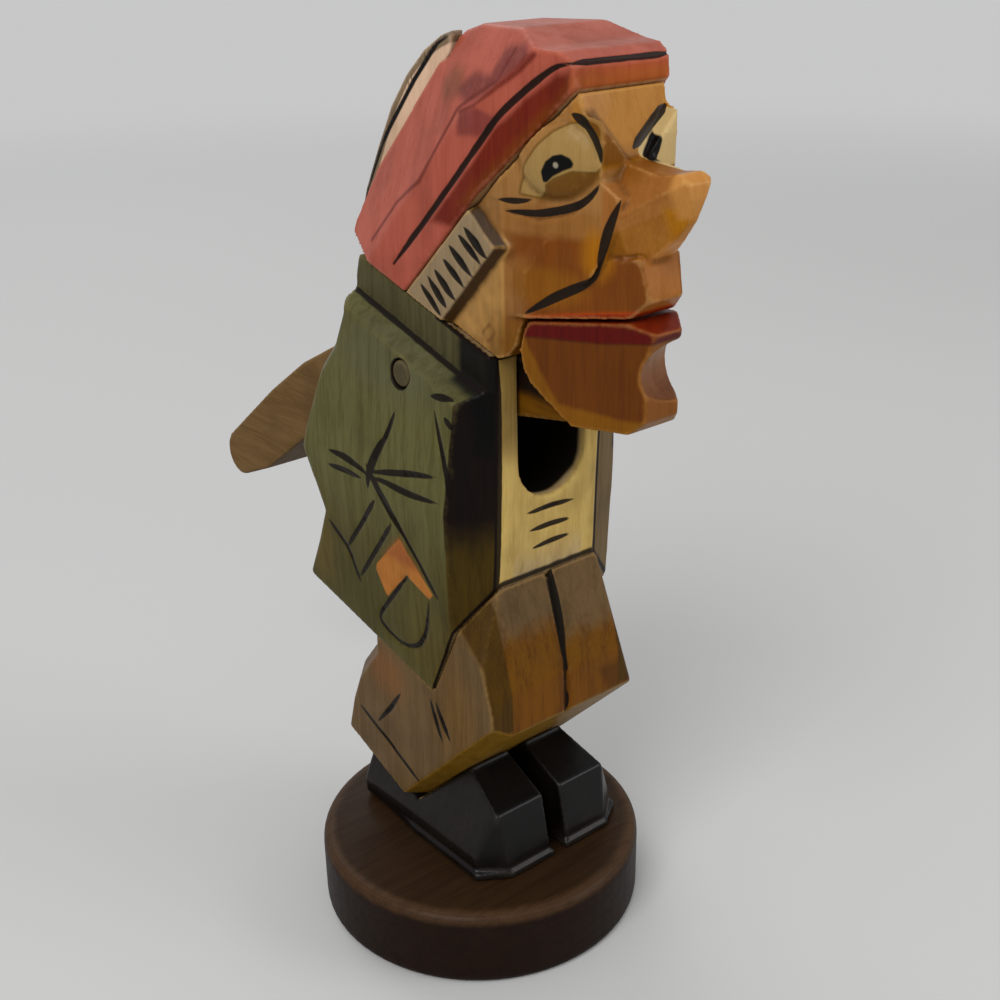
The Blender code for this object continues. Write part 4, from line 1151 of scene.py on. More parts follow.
@dataclass
class Head:
    """The face, carved in planes from one block with the nose and the sideburns."""
    sideburn: float = 17.2
    temple: Facet = Facet((15.5, -24, 150), (11.5, -40, 150), (11.5, -40, 160))
    muzzle: Facet = Facet((15.2, -31, 140), (4.5, -54.6, 140), (4.5, -54.6, 150))
    eye: Sequence[Flat] = ((-29.1, 163.7), (-29.7, 165.8), (-31.3, 169.1), (-34.6, 173.1), (-37.8, 175.9),
                           (-40.4, 177.4), (-42.7, 177.6), (-44.6, 176.4), (-46.4, 173.6), (-46.9, 170.6),
                           (-45.6, 169.3), (-42.1, 169.4), (-38.2, 167.7), (-36.1, 166.2), (-35.7, 164.9),
                           (-33.5, 163.4))
    pupil: Sequence[Flat] = ((-35.7, 166.6), (-35.5, 168.6), (-36.6, 170.6), (-38.2, 171.8), (-40, 172.2),
                             (-41.6, 171.6), (-42.3, 170.7), (-42, 169.9), (-40.4, 169.2), (-38.2, 168),
                             (-36.6, 166.7))
    glint: Flat = (-38.8, 170.1)
    glint_radius: float = 0.55
    under_eye: Sequence[Flat] = ((-33.5, 163.4), (-35.7, 164.9), (-36.1, 166.2), (-38.2, 167.7),
                                 (-42.1, 169.4), (-43.9, 169.1), (-46.9, 170.6), (-46.6, 168.2),
                                 (-43.6, 165.6), (-40.8, 163.6), (-33.5, 162.4))
    inner_brow: Sequence[Flat] = ((0.3, 172.3), (2.4, 173.8), (4.9, 175.6), (7.6, 177.4), (9.9, 178.9))
    inner_pupil: Sequence[Flat] = ((1.5, 169.9), (2.6, 171.6), (3.8, 172.9), (4.8, 174.1), (5.7, 174.8),
                                   (5.8, 173.2), (5.2, 171.4), (4.4, 169.9))
    left_eye_foot: float = 168.4
    left_eye_side: float = 10.4
    lip: Sequence[Flat] = ((-31, 139.6), (-32.3, 139.9), (-46.3, 142.2), (-54.8, 143.2))
    lip_ends: Flat = (-54.6, -31.0)
    lid: Sequence[Point] = ((15.1, -25.5, 159.8), (13.1, -33.4, 160), (11.8, -39, 161.4),
                            (10.9, -42.6, 162.9), (10.2, -45.4, 165.4), (9.8, -46.9, 167.8))
    corner: Sequence[Point] = ((15.6, -23.7, 161.9), (14.6, -28, 161.9), (13.6, -31.6, 162.6))
    fold: Sequence[Point] = ((8.7, -51.1, 164.9), (9.2, -49.3, 161.5), (9.5, -47.9, 158.3),
                             (9.8, -46.8, 152.5), (9, -45.6, 150))
    smile: Sequence[Point] = ((9.6, -46.4, 152.6), (8.9, -45.3, 150.2), (9.3, -44.3, 149.3),
                              (10.5, -41.4, 147.1), (12.6, -36.7, 144.3), (15.1, -31.1, 140.5))
    brow: Sequence[Point] = ((-11.4, -40.2, 179.2), (-11, -42, 178.7), (-10.7, -43.3, 177.8),
                             (-10.4, -44.4, 176.5), (-10.2, -45.3, 175.2), (-10, -46.1, 173.6),
                             (-9.9, -46.6, 172.3), (-9.8, -46.7, 170.6))
    dimple: Flat = (-20.2, 134.2)
    dimple_reach: Flat = (2.7, 1.25)
    dimple_gap: float = 1.9
    locks: Sequence[tuple[Flat, Flat]] = (
        ((-0.1, 140.9), (-6.9, 135.3)), ((-2.7, 143), (-8.9, 137.4)), ((-5.2, 144.8), (-11.9, 139.5)),
        ((-8.3, 147.6), (-15.3, 142.6)), ((-10.3, 150.9), (-18, 145.3)), ((-13.5, 153.5), (-21, 148.3)),
        ((-15.4, 155.4), (-22.6, 149.8)))
    lock_side: float = 17.5

    def strokes(self) -> list[Stroke]:
        """The lines round the eyes, nose and mouth, and the locks of the sideburns.

        Returns:
            The strokes.
        """
        lines = [Stroke(self.lid, 0.9, 0.3), Stroke(self.corner, 0.6, 0.3), Stroke(self.fold, 1.0, 0.45),
                 Stroke(self.smile, 1.05, 0.4), Stroke(self.brow, 0.75, 0.2, both_sides=False),
                 Stroke(self.brow[:4], 0.95, 0.2, both_sides=False)]
        inner = [(x, -44.7 + 0.24 * (z - 172.3), z) for x, z in self.inner_brow]
        lines.append(Stroke(inner, 1.0, 0.1, lens=False, both_sides=False))
        for (y1, z1), (y2, z2) in self.locks:
            spots = ((y1, z1), ((y1 + y2) / 2, (z1 + z2) / 2), (y2, z2))
            lines.append(Stroke([(self.lock_side, y, z) for y, z in spots], 0.95))
        return lines

    def build(self) -> None:
        """Builds and dresses the head."""
        piece = CarvedPiece("head", Body.FIGURE, "honey_lacquer", 0.40, 4)
        piece.carve(self.strokes())
        self.colour_cheeks(piece)
        self.colour_brow(piece)
        self.colour_nose(piece)
        self.colour_mouth(piece)
        self.colour_sideburns(piece)
        self.colour_eyes(piece)
        piece.bare(piece.near_seam(COLLAR_SEAM), piece.near_seam(CAP_SEAM))
        piece.dress(Finish("honey lacquer", seen(152, 109, 62), seen(134, 90, 42), seen(206, 160, 98),
                           gloss=0.3, lacquer=0.04, sheen=0.09, soiling=0.45, rubbing=0.26, cloudy=0.12,
                           grime=seen(70, 42, 14)))

    def colour_cheeks(self, piece: CarvedPiece) -> None:
        """Stains the cheeks and the jaw, from the lowest coat up.

        Args:
            piece: the head.
        """
        # Painted shadow of the cap's brim: a darker patch on the temple just below it.
        piece.paint("brim_shadow", piece.blot((12.5, -38.5, 182.5), (3, 4, 3.4)),
                    (128, 78, 38), (110, 62, 26), 0.6, 2.0, 1.0)
        piece.paint("brown_cheek", piece.blot((12, -37, 158.6), (7, 13, 3.6)),
                    (137, 90, 44), (120, 76, 32), 0.9, 2.0, 1.0)
        top = 155.6 - (piece.y + 24.0) * 0.05
        piece.paint("amber", piece.zone(inside=15.15, below=top, before=-25.0),
                    (114, 61, 3), (96, 49, 2), 0.95, 1.2, 0.6)
        piece.paint("chops", piece.blot((13, -34, 146.4), (5, 10, 3.8)),
                    (134, 84, 25), (118, 70, 16), 0.85, 1.6, 0.8)
        piece.paint("gold", piece.blot((9.9, -45.6, 153.6), (4, 3, 4.6)),
                    (160, 101, 14), (142, 86, 8), 0.85, 1.6, 0.8)
        side = within(piece.zone(outside=15.25, inside=15.9) * FIRM, piece.zone(behind=-27.0, below=155.0))
        piece.paint("jaw", side, (176, 132, 74), (156, 112, 56), 0.9, 1.0, 0.6)
        piece.paint("jaw_foot", piece.blot((15.5, -28, 132.5), (4, 8, 6)),
                    (112, 72, 14), (96, 58, 10), 0.85, 3.0, 1.0)

    def colour_brow(self, piece: CarvedPiece) -> None:
        """Stains the forehead and the shade between the eyes.

        Args:
            piece: the head.
        """
        piece.paint("forehead", piece.zone(above=169.6, before=-40.4, inside=12.6),
                    (163, 109, 32), (146, 92, 20), 0.95, 0.6, 0.4)
        pale = piece.blot((-8.5, -41.8, 182.5), (4.5, 3.0, 4.5), both_sides=False)
        piece.paint("forehead_pale", pale, (172, 122, 68), (156, 106, 56), 0.7, 2.5, 1.0)
        edge = -1.2 - 0.72 * (piece.z - 170.4)
        piece.paint("shade", piece.zone(above=170.0, before=-42.4, right_of=edge, below=179.8),
                    (98, 62, 9), (84, 50, 6), 0.9, 0.9, 0.3)

    def colour_nose(self, piece: CarvedPiece) -> None:
        """Stains the nose from its root to its tip.

        Args:
            piece: the head.
        """
        ridge = 158.8 - 0.54 * (piece.y + 49.6)
        piece.paint("nose", piece.zone(before=-46.9, above=ridge),
                    (146, 92, 43), (132, 80, 34), 0.95, 0.7, 0.4)
        piece.paint("nose_root", piece.blot((1.0, -48.0, 169.5), (5, 4, 3)),
                    (119, 70, 20), (104, 58, 14), 0.8, 2.5, 0.5)
        piece.paint("nostril", piece.zone(before=-47.2, below=ridge, above=153.6),
                    (139, 87, 10), (124, 72, 5), 0.95, 0.5, 0.4)
        under = within(piece.zone(before=-50.0, above=151.5), piece.facing((0, -0.3, -1), 0.5))
        piece.paint("nose_under", under, (188, 128, 66), (170, 110, 48), 0.8, 0.8, 0.4)
        piece.paint("tip_foot", piece.zone(before=-57.4, below=163.6, above=155.0),
                    (168, 108, 18), (150, 92, 12), 0.9, 1.0, 0.5)
        tip = -58.9 + (piece.z - 165) * 0.05
        piece.paint("tip", piece.zone(before=tip, above=161.5),
                    (187, 131, 68), (172, 116, 54), 0.9, 0.9, 0.5)

    def colour_mouth(self, piece: CarvedPiece) -> None:
        """Stains the muzzle's front and the upper lip.

        Args:
            piece: the head.
        """
        front = within(self.muzzle.height(piece.left) + 0.5, piece.zone(before=-49.5, below=153.5))
        piece.paint("muzzle_front", front, (154, 97, 44), (138, 82, 30), 0.92, 0.4, 0.3)
        above_lip = line_height(piece.points, self.lip)
        mouth = piece.zone(behind=self.lip_ends[0], before=self.lip_ends[1])
        # An orange tint of the paint along the upper lip's line.
        piece.paint("lip_tint_and_sheen", within(np.abs(above_lip) - 0.5, mouth),
                    (168, 62, 22), (150, 48, 14), 0.7, 0.5, 0.3)
        piece.paint("lip", within(above_lip, mouth), (132, 46, 10), (108, 28, 6), stray=0.2)

    def colour_sideburns(self, piece: CarvedPiece) -> None:
        """Stains the dimple in the jaw, and the sideburns and their edges.

        Args:
            piece: the head.
        """
        ahead, above = self.dimple[0] - piece.y, piece.z - self.dimple[1]
        length, breadth = (ahead + above) / 2 ** 0.5, (ahead - above) / 2 ** 0.5
        ring = np.hypot(length / self.dimple_reach[0], breadth / self.dimple_reach[1])
        dimple = within(np.abs(ring - 1.0) * 1.2 - 0.3, np.abs(length) - self.dimple_gap,
                        piece.zone(outside=15.0))
        piece.paint("dimple", dimple, (112, 74, 34), (96, 60, 26), 0.8, 0.35, 0.2)
        piece.paint("sideburn_edge", piece.zone(outside=15.62, below=162.0),
                    (60, 41, 18), (48, 32, 12), 0.98, 0.3, 0.3)
        piece.paint("sideburn", piece.zone(outside=self.sideburn), (139, 119, 90), (122, 102, 74), stray=0.2)

    def colour_eyes(self, piece: CarvedPiece) -> None:
        """Paints the eyes and the shade under them.

        Args:
            piece: the head.
        """
        flat = piece.points[:, 1:]
        sideways = np.minimum(piece.facing((-0.97, -0.24, 0), 0.5), piece.facing((0.97, -0.24, 0), 0.5))
        temple = within(np.abs(self.temple.height(piece.left)) - 3.0, sideways)
        eye = inside_polygon(flat, self.eye)
        piece.paint("under_eye", within(inside_polygon(flat, self.under_eye), temple),
                    (102, 66, 14), (88, 54, 9), 0.9, 0.8, 0.4)
        piece.paint("eye_rim", within(np.abs(eye) - 0.5, temple, piece.zone(before=-28.0)),
                    (92, 70, 26), (78, 58, 20), 0.7, 0.35, 0.2)
        piece.paint("eye", within(eye, temple), (153, 123, 73), (140, 110, 60), stray=0.1)
        heights = [self.left_eye_foot - 0.4, 170.2, 171.8] + [height for _, height in self.inner_brow[1:]]
        starts = [4.5, 1.6, 1.2] + [side + 0.4 for side, _ in self.inner_brow[1:]]
        brow = np.interp(piece.z, heights, starts)
        white_of_eye = piece.zone(left_of=brow, right_of=self.left_eye_side, above=self.left_eye_foot,
                                  below=178.6, before=-43.2)
        piece.paint("left_eye", white_of_eye, (192, 166, 114), (178, 150, 98), stray=0.1)
        pupil = within(inside_polygon(flat, self.pupil), temple)
        left_pupil = within(inside_polygon(piece.points[:, (0, 2)], self.inner_pupil),
                            piece.zone(before=-43.6))
        black = (12, 9, 6)
        piece.paint("pupil", pupil, black, black, stray=0.1)
        piece.paint("left_pupil", left_pupil, black, black, stray=0.1)
        glint = np.hypot(piece.y - self.glint[0], piece.z - self.glint[1]) - self.glint_radius
        white = (150, 140, 120)
        piece.paint("glint", within(glint, temple), white, white, 0.9, stray=0.1)
        left_eye = piece.zone(right_of=self.left_eye_side, left_of=1.0, above=self.left_eye_foot,
                              below=179.0, before=-43.0)
        piece.keep_clean(left_pupil, pupil, left_eye)


@dataclass
class Cap:
    """The cap, with the feather in its kerf."""
    side_line: Sequence[Point] = ((17.9, 8.9, 143.5), (17.9, -2.1, 153.8), (17.9, -13, 164.3),
                                  (17.8, -19.9, 171.1), (16.5, -25.1, 177.7), (14.9, -31.4, 182.9),
                                  (13.2, -38.1, 187.7), (12.3, -41.6, 188.2))
    front_line: Sequence[Point] = ((-12.3, -41.6, 188.2), (-8.3, -41.6, 188.3), (0, -41.7, 188.2),
                                   (8.3, -41.8, 188.1), (12.3, -41.6, 188.1))
    front: float = -40.9
    crease: Sequence[Point] = ((16.4, 18.5, 146.9), (16.7, 8.1, 156.7), (17.9, -1.6, 162.7),
                               (17.4, -8.7, 171.6), (17, -13.9, 178.1), (16.5, -16.8, 180),
                               (15.9, -24.5, 184.1), (13.2, -26.9, 189.6))
    dart: Sequence[Point] = ((17.4, -15, 177.6), (17.4, -19.4, 179.3), (16.4, -25.2, 183.1),
                             (15.2, -30.1, 186.2), (14.4, -33.5, 189.3))
    wine: Sequence[Flat] = ((-10.5, 181.9), (-15.1, 184.8), (-21.4, 184.9), (-23.1, 189.8), (-29.4, 190.9),
                            (-33.5, 189.3), (-30.1, 186.2), (-25.2, 183.1), (-19.4, 180), (-16.1, 179.4),
                            (-11.1, 180.5))
    patch: Sequence[Flat] = ((-19.4, 179.2), (-24.4, 177.6), (-25.8, 177.4), (-22.1, 173.7),
                             (-14.4, 173.2), (-15, 177.6))
    quill: Sequence[Flat] = ((34.3, 145.5), (29.4, 155.5), (22.7, 166.3), (18.2, 171.7), (10.2, 180.6),
                             (1.8, 188.7), (-3.2, 191.4))
    outer: Sequence[Flat] = ((33.9, 146.5), (30, 155.4), (24.4, 165.6), (19.4, 174.6), (13.5, 182.2),
                             (6.9, 187.4), (1.5, 189.9), (-1.9, 191.2))
    feather_side: float = 9.5
    barbs: int = 34
    barb_lean: float = 0.045

    def build(self) -> None:
        """Builds and dresses the cap and its feather."""
        self.build_cap()
        self.build_feather()

    def build_cap(self) -> None:
        """Builds and dresses the cap."""
        piece = CarvedPiece("cap", Body.FIGURE, "cap_red", 0.5, 4)
        piece.carve([Stroke(self.side_line, 0.72, 0.5, lens=False),
                     Stroke(self.front_line, 0.72, 0.5, lens=False, both_sides=False)])
        height = CAP_SEAM.height(piece.points)
        flat = piece.points[:, 1:]
        above_line = line_height(piece.points, [(y, z) for _, y, z in self.side_line])
        behind_front = piece.zone(behind=self.front)
        before_front = piece.zone(before=self.front)
        piece.paint("crown", piece.facing((0, 0.1, 1), 0.85), (160, 102, 90), (146, 86, 74), 0.7, 1.0, 1.0)
        piece.paint("wine", inside_polygon(flat, self.wine), (104, 44, 40), (84, 32, 30), 0.8, 1.2, 1.0)
        piece.paint("patch", within(inside_polygon(flat, self.patch), piece.zone(outside=15.0)),
                    (122, 58, 54), (104, 46, 44), 0.85, 0.8, 0.6)
        piece.paint("olive", piece.blot((13.5, -8, 182), (5, 4, 3.4)),
                    (116, 70, 48), (104, 60, 40), 0.7, 2.0, 1.0)
        piece.paint("brim", within(above_line + 1.6, behind_front, piece.zone(above=155.0)),
                    (102, 34, 8), (86, 22, 4), 0.93, 1.1, 0.8)
        piece.paint("brim_foot", within(height - 1.8, behind_front, piece.zone(above=160.0)),
                    (112, 56, 16), (96, 46, 10), 0.8, 1.4, 1.2)
        piece.paint("front_brim", within(before_front, piece.zone(below=187.4)),
                    (162, 76, 44), (144, 60, 30), 0.95, 0.4, 0.3)
        piece.paint("front_foot", within(before_front, height - 2.0),
                    (156, 82, 34), (140, 70, 26), 0.8, 0.9, 0.8)
        piece.paint("crease", np.minimum(piece.near_line(self.crease, 0.5), piece.near_line(self.dart, 0.45)),
                    (100, 36, 28), (88, 28, 22), 0.85, 0.45, 0.2)
        piece.bare(np.abs(height) - 0.2, piece.near_seam(COLLAR_SEAM))
        piece.dress(Finish("cap red", seen(166, 84, 67), seen(148, 70, 54), seen(190, 112, 88), lacquer=0.04,
                           rubbing=0.36, streaks=0.6))

    def build_feather(self) -> None:
        """Builds and dresses the feather. Its barbs are ticks from the quill to the outer edge."""
        piece = CarvedPiece("cap_feather", Body.FIGURE, "feather_cream", 0.35, 3)
        flat = piece.points[:, 1:]
        quill, outer = np.array(self.quill, float), np.array(self.outer, float)
        ticks = []
        for share in np.linspace(0.04, 0.94, self.barbs):
            root = self.spot(quill, share)
            end = self.spot(outer, min(share + self.barb_lean, 1.0))
            for side in (-self.feather_side, self.feather_side):
                ticks.append(Stroke([(side, *root), (side, *end)], 0.2, both_sides=False))
        piece.carve(ticks)
        piece.paint("vane", along_line(flat, outer)[0] - 2.3, (128, 108, 84), (108, 90, 68), stray=0.2)
        piece.paint("quill", along_line(flat, quill)[0] - 0.6, (20, 15, 10), (16, 12, 8), stray=0.1)
        piece.dress(Finish("feather cream", seen(212, 178, 150), seen(196, 160, 128), seen(220, 190, 160),
                           ink=seen(76, 62, 44)))

    @staticmethod
    def spot(line: np.ndarray, share: float) -> Flat:
        """The place at a share of the way along a line.

        Args:
            line: the line's (y, z) points, one row each.
            share: how far along it, from 0 to 1.

        Returns:
            The place.
        """
        lengths = lengths_along(line)
        where = share * lengths[-1]
        return float(np.interp(where, lengths, line[:, 0])), float(np.interp(where, lengths, line[:, 1]))


@dataclass
class Jaw:
    """The lever and the chin block that it carries."""
    lip: Sequence[Flat] = ((-29.9, 135.8), (-37.8, 136.2), (-46.9, 136.7), (-50.8, 137.3), (-56, 137.4))
    slot_back: float = -12.0
    arm_top: float = 120.4
    heel: float = -31.0
    heel_height: float = 134.0
    heel_lean: float = 0.55
    chin_foot: float = 121.6
    chin_rise: float = 0.08

    def build(self) -> None:
        """Builds and dresses the lever and the chin."""
        self.build_lever()
        self.build_chin()

    def build_lever(self) -> None:
        """Builds and dresses the lever."""
        lever = CarvedPiece("jaw_lever", Body.JAW, "handle_brown", 0.5, 5)
        lever.paint("shade", lever.facing((0, -0.2, -1), 0.5), (80, 60, 36), (66, 48, 28), 0.8, 1.2)
        # Painted shade: the lever's front, inside the slot, is painted near black where it lies in shadow.
        lever.paint("front", lever.zone(before=self.slot_back), (26, 15, 6), (18, 9, 4), 0.96, 2.0)
        lever.paint("front_foot", lever.zone(before=-21.0, below=self.arm_top),
                    (108, 70, 18), (94, 58, 12), 0.92, 1.4)
        lever.dress(Finish("handle brown", seen(108, 83, 50), seen(90, 66, 36), seen(146, 116, 74), gloss=0.5,
                           lacquer=0.0, grain=Grain.BACKWARDS, streaks=0.8))

    def build_chin(self) -> None:
        """Builds and dresses the chin block."""
        chin = CarvedPiece("chin_block", Body.JAW, "chin_lacquer", 0.40, 4)
        back = self.heel - self.heel_lean * (self.heel_height - chin.z)
        foot = self.chin_foot + self.chin_rise * (chin.y + 50.0)
        below_lip = -line_height(chin.points, self.lip)
        chin.paint("edge", np.minimum(chin.zone(behind=back), chin.zone(below=foot)),
                   (124, 80, 20), (108, 66, 12), 0.85, 0.7, 0.5)
        chin.paint("under", chin.facing((0, -0.3, -1), 0.35), (130, 86, 22), (114, 72, 14), 0.85, 0.8, 0.5)
        chin.paint("front", within(chin.facing((0, -1, 0), 0.75), chin.zone(before=-40.0)),
                   (124, 76, 34), (106, 60, 20), 0.85, 0.6, 0.4)
        chin.paint("lip_edge", within(np.abs(below_lip) - 0.3, chin.zone(before=-29.0)),
                   (60, 12, 8), (50, 8, 6), 0.8, 0.4, 0.2)
        chin.paint("lip", below_lip, (86, 24, 14), (64, 10, 8), stray=0.2)
        # Painted sheen: the upward-facing top of the lower lip is painted lighter and pinker.
        chin.paint("lip_tint_and_sheen", within(below_lip, chin.facing((0, -0.6, 1), 0.6)),
                   (112, 42, 24), (92, 28, 16), 0.7, 0.6, 0.3)
        chin.dress(Finish("chin lacquer", seen(98, 54, 5), seen(82, 42, 3), seen(178, 124, 62), gloss=0.3,
                          lacquer=0.04, sheen=0.09, rubbing=0.22, cloudy=0.12, soiling=0.4,
                          grime=seen(60, 34, 10)))


@dataclass
class Pegs:
    """The dowels and the screws that hold the pieces together."""
    fluted: Sequence[str] = ("boot_dowel_right", "boot_dowel_left", "waist_dowel_right", "waist_dowel_left",
                             "neck_dowel_right", "neck_dowel_left", "cap_dowel")
    screws: Sequence[str] = ("base_screw_right", "base_screw_left")
    flutes: int = 18
    flute_depth: float = 0.07
    chamfer: float = 0.5
    screw_shank: float = 1.8
    screw_head: float = 3.8
    screw_rim: float = 0.4
    screw_tip: float = 4.0
    screw_core: float = 0.72
    screw_slot: float = 0.9
    pitch: float = 1.7
    dowel_steps: int = 60
    cone_sides: int = 28
    thread_steps: int = 20
    point_share: float = 0.3
    pivot_end: float = 20.6

    def build(self) -> None:
        """Builds and dresses the pegs."""
        wood = Finish("dowel wood", seen(196, 166, 120), seen(170, 138, 94), seen(206, 178, 134), lacquer=0.0,
                      gloss=0.55).material()
        dowel = self.dowel_pattern(wood)
        for name in self.fluted:
            self.fit_dowel(dowel, name, Body.FIGURE)
        self.fit_dowel(dowel, "chin_dowel", Body.JAW)
        self.build_screws()
        pivot = CarvedPiece("pivot_dowel", Body.FIGURE, "pivot_wood", 0.3, 2)
        pivot.paint("end", pivot.zone(outside=self.pivot_end), (66, 62, 46), (52, 48, 36), 0.95, 0.3, 0.2)
        pivot.dress(Finish("pivot wood", seen(186, 154, 108), seen(160, 126, 82), seen(200, 170, 124),
                           lacquer=0.0, gloss=0.5, rubbing=0.05, grain=Grain.ACROSS))

    def dowel_pattern(self, material: bpy.types.Material) -> Pattern:
        """The tree for a fluted dowel: a star swept along Z, narrowed towards both ends.

        Args:
            material: the dowel's wood.

        Returns:
            The tree.
        """
        tree = Pattern("fluted dowel", ("Length", "Radius", "Chamfer"))
        length, radius, chamfer = tree.size("Length"), tree.size("Radius"), tree.size("Chamfer")
        line = tree.node("GeometryNodeCurvePrimitiveLine", {},
                         {"Start": tree.upright(length * -0.5), "End": tree.upright(length * 0.5)})
        points = tree.node("GeometryNodeResampleCurve", {},
                           {"Curve": line.outputs[0], "Count": self.dowel_steps})
        along = Value(tree, tree.node("GeometryNodeSplineParameter").outputs["Factor"])
        to_end = along.lowest(1 - along) * length
        star = tree.node("GeometryNodeCurveStar", {},
                         {"Points": self.flutes, "Inner Radius": 1.0 - self.flute_depth, "Outer Radius": 1.0})
        rod = tree.node("GeometryNodeCurveToMesh", {},
                        {"Curve": points.outputs[0], "Profile Curve": star.outputs[0], "Fill Caps": True,
                         "Scale": radius - (chamfer - to_end).highest(0.0)})
        tree.close(material, rod.outputs[0])
        return tree

    def fit_dowel(self, tree: Pattern, node: str, body: Body) -> None:
        """Makes a dowel of its CAD node's size and lays it in the node's place.

        Args:
            tree: the dowel's tree.
            node: the CAD node.
            body: the body that it rides on.
        """
        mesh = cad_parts[node].data
        corners = np.array([vertex.co[:] for vertex in mesh.vertices])
        low, high = corners.min(axis=0), corners.max(axis=0)
        middle = (low + high) / 2
        axis = np.linalg.svd(corners - corners.mean(axis=0), full_matrices=False)[2][0]
        reach = (corners - middle) @ axis
        around = np.linalg.norm((corners - middle) - reach[:, None] * axis, axis=1)
        obj = tree.make(node + "_fluted", {"Length": float(reach.max() - reach.min()),
                                           "Radius": float(around.max()), "Chamfer": self.chamfer * MM})
        turn = Vector(axis).to_track_quat("Z", "Y").to_matrix().to_4x4()
        obj.data.transform(Matrix.Translation(Vector(middle)) @ turn)
        stand_in(obj, node, body)

    def build_screws(self) -> None:
        """Builds and dresses the two wood screws that come up through the base."""
        steel = self.steel()
        for name in self.screws:
            low, high = (Vector(corner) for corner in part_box(name))
            tree = self.screw_pattern("wood " + name.replace("_", " "), steel)
            obj = tree.make(name + "_threaded", {
                "Length": high.z - low.z, "Shank": self.screw_shank * MM, "Head": self.screw_head * MM,
                "Tip": self.screw_tip * MM, "Rim": self.screw_rim * MM, "Slot": self.screw_slot * MM})
            obj.data.transform(Matrix.Translation(((low.x + high.x) / 2, (low.y + high.y) / 2, low.z)))
            stand_in(obj, name, Body.FIGURE)

    def screw_pattern(self, name: str, material: bpy.types.Material) -> Pattern:
        """The tree for a countersunk wood screw that points up: head, core and a spiral thread.

        Args:
            name: the tree's name.
            material: the screw's steel.

        Returns:
            The tree.
        """
        tree = Pattern(name, ("Length", "Shank", "Head", "Tip", "Rim", "Slot"))
        length, shank, head = tree.size("Length"), tree.size("Shank"), tree.size("Head")
        tip, rim, slot = tree.size("Tip"), tree.size("Rim"), tree.size("Slot")
        sink = head - shank
        core = shank * self.screw_core
        disc = self.turned(tree, head, head, rim, 0.0)
        cone = self.turned(tree, shank, head, sink - rim, rim)
        shaft = self.turned(tree, core, core, length - tip - sink, sink)
        point = self.turned(tree, shank * self.point_share, core, tip, length - tip)
        cutter = tree.node("GeometryNodeMeshCube", {}, {"Size": tree.node(
            "ShaderNodeCombineXYZ", {}, {"X": head * 3, "Y": slot, "Z": slot * 2}).outputs[0]})
        slotted = tree.node("GeometryNodeMeshBoolean", {"operation": "DIFFERENCE"}, {"Mesh 1": disc})
        tree.tree.links.new(cutter.outputs[0], slotted.inputs["Mesh 2"])
        turns = (length - tip - sink) * (1 / (self.pitch * MM))
        spiral = tree.node("GeometryNodeCurveSpiral", {},
                           {"Resolution": self.thread_steps, "Rotations": turns, "Start Radius": core,
                            "End Radius": core, "Height": length - tip - sink})
        ridge = tree.node("GeometryNodeCurvePrimitiveCircle", {}, {"Resolution": 3, "Radius": shank - core})
        thread = tree.node("GeometryNodeCurveToMesh", {},
                           {"Curve": spiral.outputs[0], "Profile Curve": ridge.outputs[0], "Fill Caps": True})
        raised = tree.node("GeometryNodeTransform", {},
                           {"Geometry": thread.outputs[0], "Translation": tree.upright(sink)})
        tree.close(material, slotted.outputs[0], cone, shaft, point, raised.outputs[0])
        return tree

    def turned(self, tree: Pattern, top: Number, bottom: Number, depth: Number,
               height: Number) -> bpy.types.NodeSocket:
        """A short cone that stands at a height.

        Args:
            tree: the tree to add to.
            top: its radius at the top.
            bottom: its radius at the bottom.
            depth: how tall it is.
            height: where its bottom is.

        Returns:
            The geometry.
        """
        cone = tree.node("GeometryNodeMeshCone", {}, {"Vertices": self.cone_sides, "Radius Top": top,
                                                      "Radius Bottom": bottom, "Depth": depth})
        return tree.node("GeometryNodeTransform", {}, {"Geometry": cone.outputs[0],
                                                       "Translation": tree.upright(height)}).outputs[0]

    @staticmethod
    def steel() -> bpy.types.Material:
        """Builds yellow-plated steel, dulled and a little scratched.

        Returns:
            The material.
        """
        graph = Graph("screw steel")
        place = graph.place((1.0, 1.0, 1.0))
        dull = graph.noise(place, scale=0.5, detail=3.0)
        scratch = graph.noise(graph.place((4.0, 4.0, 0.3)), scale=1.4)
        colour = graph.mix(dull.ease(0.35, 0.7), (0.52, 0.44, 0.27), (0.34, 0.30, 0.22))
        graph.finish(colour, 0.28 + dull * 0.2 + scratch * 0.1, scratch, 0.03)
        graph.shader.inputs["Metallic"].default_value = 1.0
        return graph.material


# ---------------------------------------------------------------- backdrop, light and camera


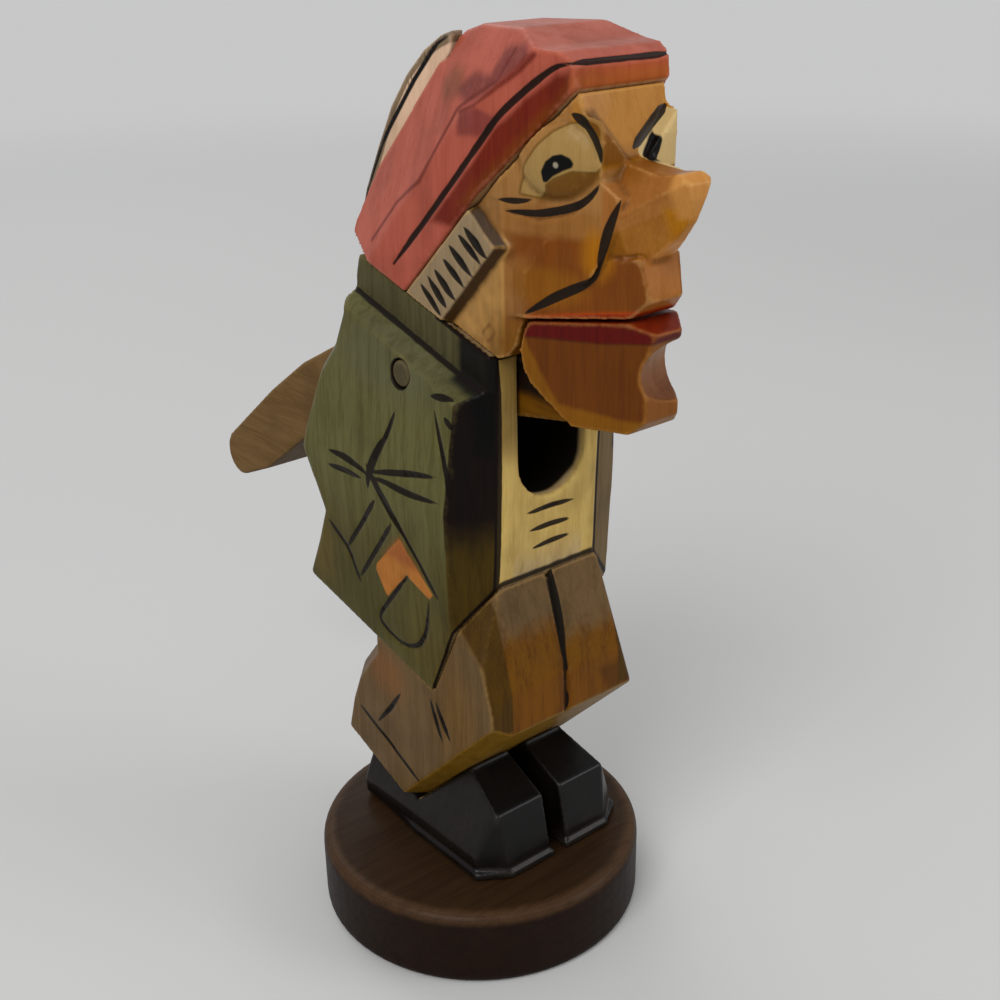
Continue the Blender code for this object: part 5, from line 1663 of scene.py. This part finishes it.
@dataclass
class Studio:
    """A pale floor and surround, three soft lamps and the camera."""
    floor_reach: float = 3.0
    floor_fade: tuple[float, float] = (0.5, 1.5)
    floor: Colour = (0.51, 0.51, 0.505)
    surround: Colour = (0.575, 0.575, 0.58)
    lamps: Sequence[tuple[str, Point, float, float]] = (
        ("key", (-0.75, -0.35, 0.95), 0.6, 8.0),
        ("fill", (0.7, -0.9, 0.6), 0.6, 4.5),
        ("back", (0.2, 0.9, 0.9), 0.8, 4.0))
    aim: Point = (0.0, 0.0, 0.11)
    ambient: float = 0.95
    lens: float = 50.4
    sensor: float = 36.0
    nearest: float = 0.01
    eye: Point = (-0.18317, -0.23281, 0.23704)
    gaze: Point = (0.58165, 0.70711, -0.40211)
    roll: float = -0.98

    def build(self) -> None:
        """Builds the backdrop, the lamps and the camera."""
        bpy.context.scene.view_settings.view_transform = "Standard"
        self.build_floor()
        self.build_surround()
        for name, place, size, power in self.lamps:
            self.hang_lamp(name, place, size, power)
        self.build_camera()

    def hang_lamp(self, name: str, place: Point, size: float, power: float) -> None:
        """Adds a square area lamp.

        Args:
            name: the lamp's name.
            place: where it hangs, in metres.
            size: its side, in metres.
            power: its power, in watts.
        """
        light = bpy.data.lights.new(name, "AREA")
        light.shape = "SQUARE"
        light.size = size
        light.energy = power
        obj = bpy.data.objects.new(name, light)
        obj.location = place
        obj.rotation_euler = (Vector(self.aim) - Vector(place)).to_track_quat("-Z", "Y").to_euler()
        bpy.context.scene.collection.objects.link(obj)

    def build_floor(self) -> None:
        """A plain pale floor that takes the object's shadow."""
        mesh = bpy.data.meshes.new("floor")
        reach = self.floor_reach
        corners = [(-reach, -reach, 0), (reach, -reach, 0), (reach, reach, 0), (-reach, reach, 0)]
        mesh.from_pydata(corners, [], [(0, 1, 2, 3)])
        floor = bpy.data.objects.new("floor", mesh)
        bpy.context.scene.collection.objects.link(floor)
        graph = Graph("pale floor")
        graph.shader.inputs["Base Color"].default_value = (*self.floor, 1)
        graph.shader.inputs["Roughness"].default_value = 0.9
        graph.shader.inputs["Specular IOR Level"].default_value = 0.2
        flat = graph.node("ShaderNodeVectorMath", {"operation": "LENGTH"}, {"Vector": graph.place((1, 1, 1))})
        distance = Value(graph, flat.outputs["Value"])
        near, far = self.floor_fade
        graph.feed(graph.shader.inputs["Alpha"], distance.ease(far / MM, near / MM))
        mesh.materials.append(graph.material)

    def build_surround(self) -> None:
        """An even pale surround, a little dimmer as a light than as a backdrop."""
        world = bpy.data.worlds.new("studio")
        bpy.context.scene.world = world
        world.use_nodes = True
        wiring = Wiring(world.node_tree)
        path = wiring.node("ShaderNodeLightPath").outputs
        direct = Value(wiring, path["Is Camera Ray"]).highest(Value(wiring, path["Is Glossy Ray"]))
        either = direct.highest(Value(wiring, path["Is Transmission Ray"]))
        background = wiring.tree.nodes["Background"]
        wiring.feed(background.inputs["Color"], self.surround)
        wiring.feed(background.inputs["Strength"], self.ambient + either * (1 - self.ambient))

    def build_camera(self) -> None:
        """The photograph's viewpoint: from the figure's right, looking down a little."""
        data = bpy.data.cameras.new("photograph")
        data.lens = self.lens
        data.sensor_width = self.sensor
        data.clip_start = self.nearest
        camera = bpy.data.objects.new("photograph", data)
        bpy.context.scene.collection.objects.link(camera)
        turn = Vector(self.gaze).to_track_quat("-Z", "Y").to_matrix().to_4x4()
        roll = Matrix.Rotation(math.radians(self.roll), 4, "Z")
        camera.matrix_world = Matrix.Translation(self.eye) @ turn @ roll
        bpy.context.scene.camera = camera


def main() -> None:
    """Builds and dresses the object, piece by piece."""
    logging.basicConfig(level=logging.INFO, format="%(message)s")
    for assembly in (Studio(), Plinth(), Legs(), Torso(), Head(), Cap(), Jaw(), Pegs()):
        LOG.info("building %s", type(assembly).__name__)
        assembly.build()


if __name__ == "__main__":
    main()
    bpy.context.view_layer.update()
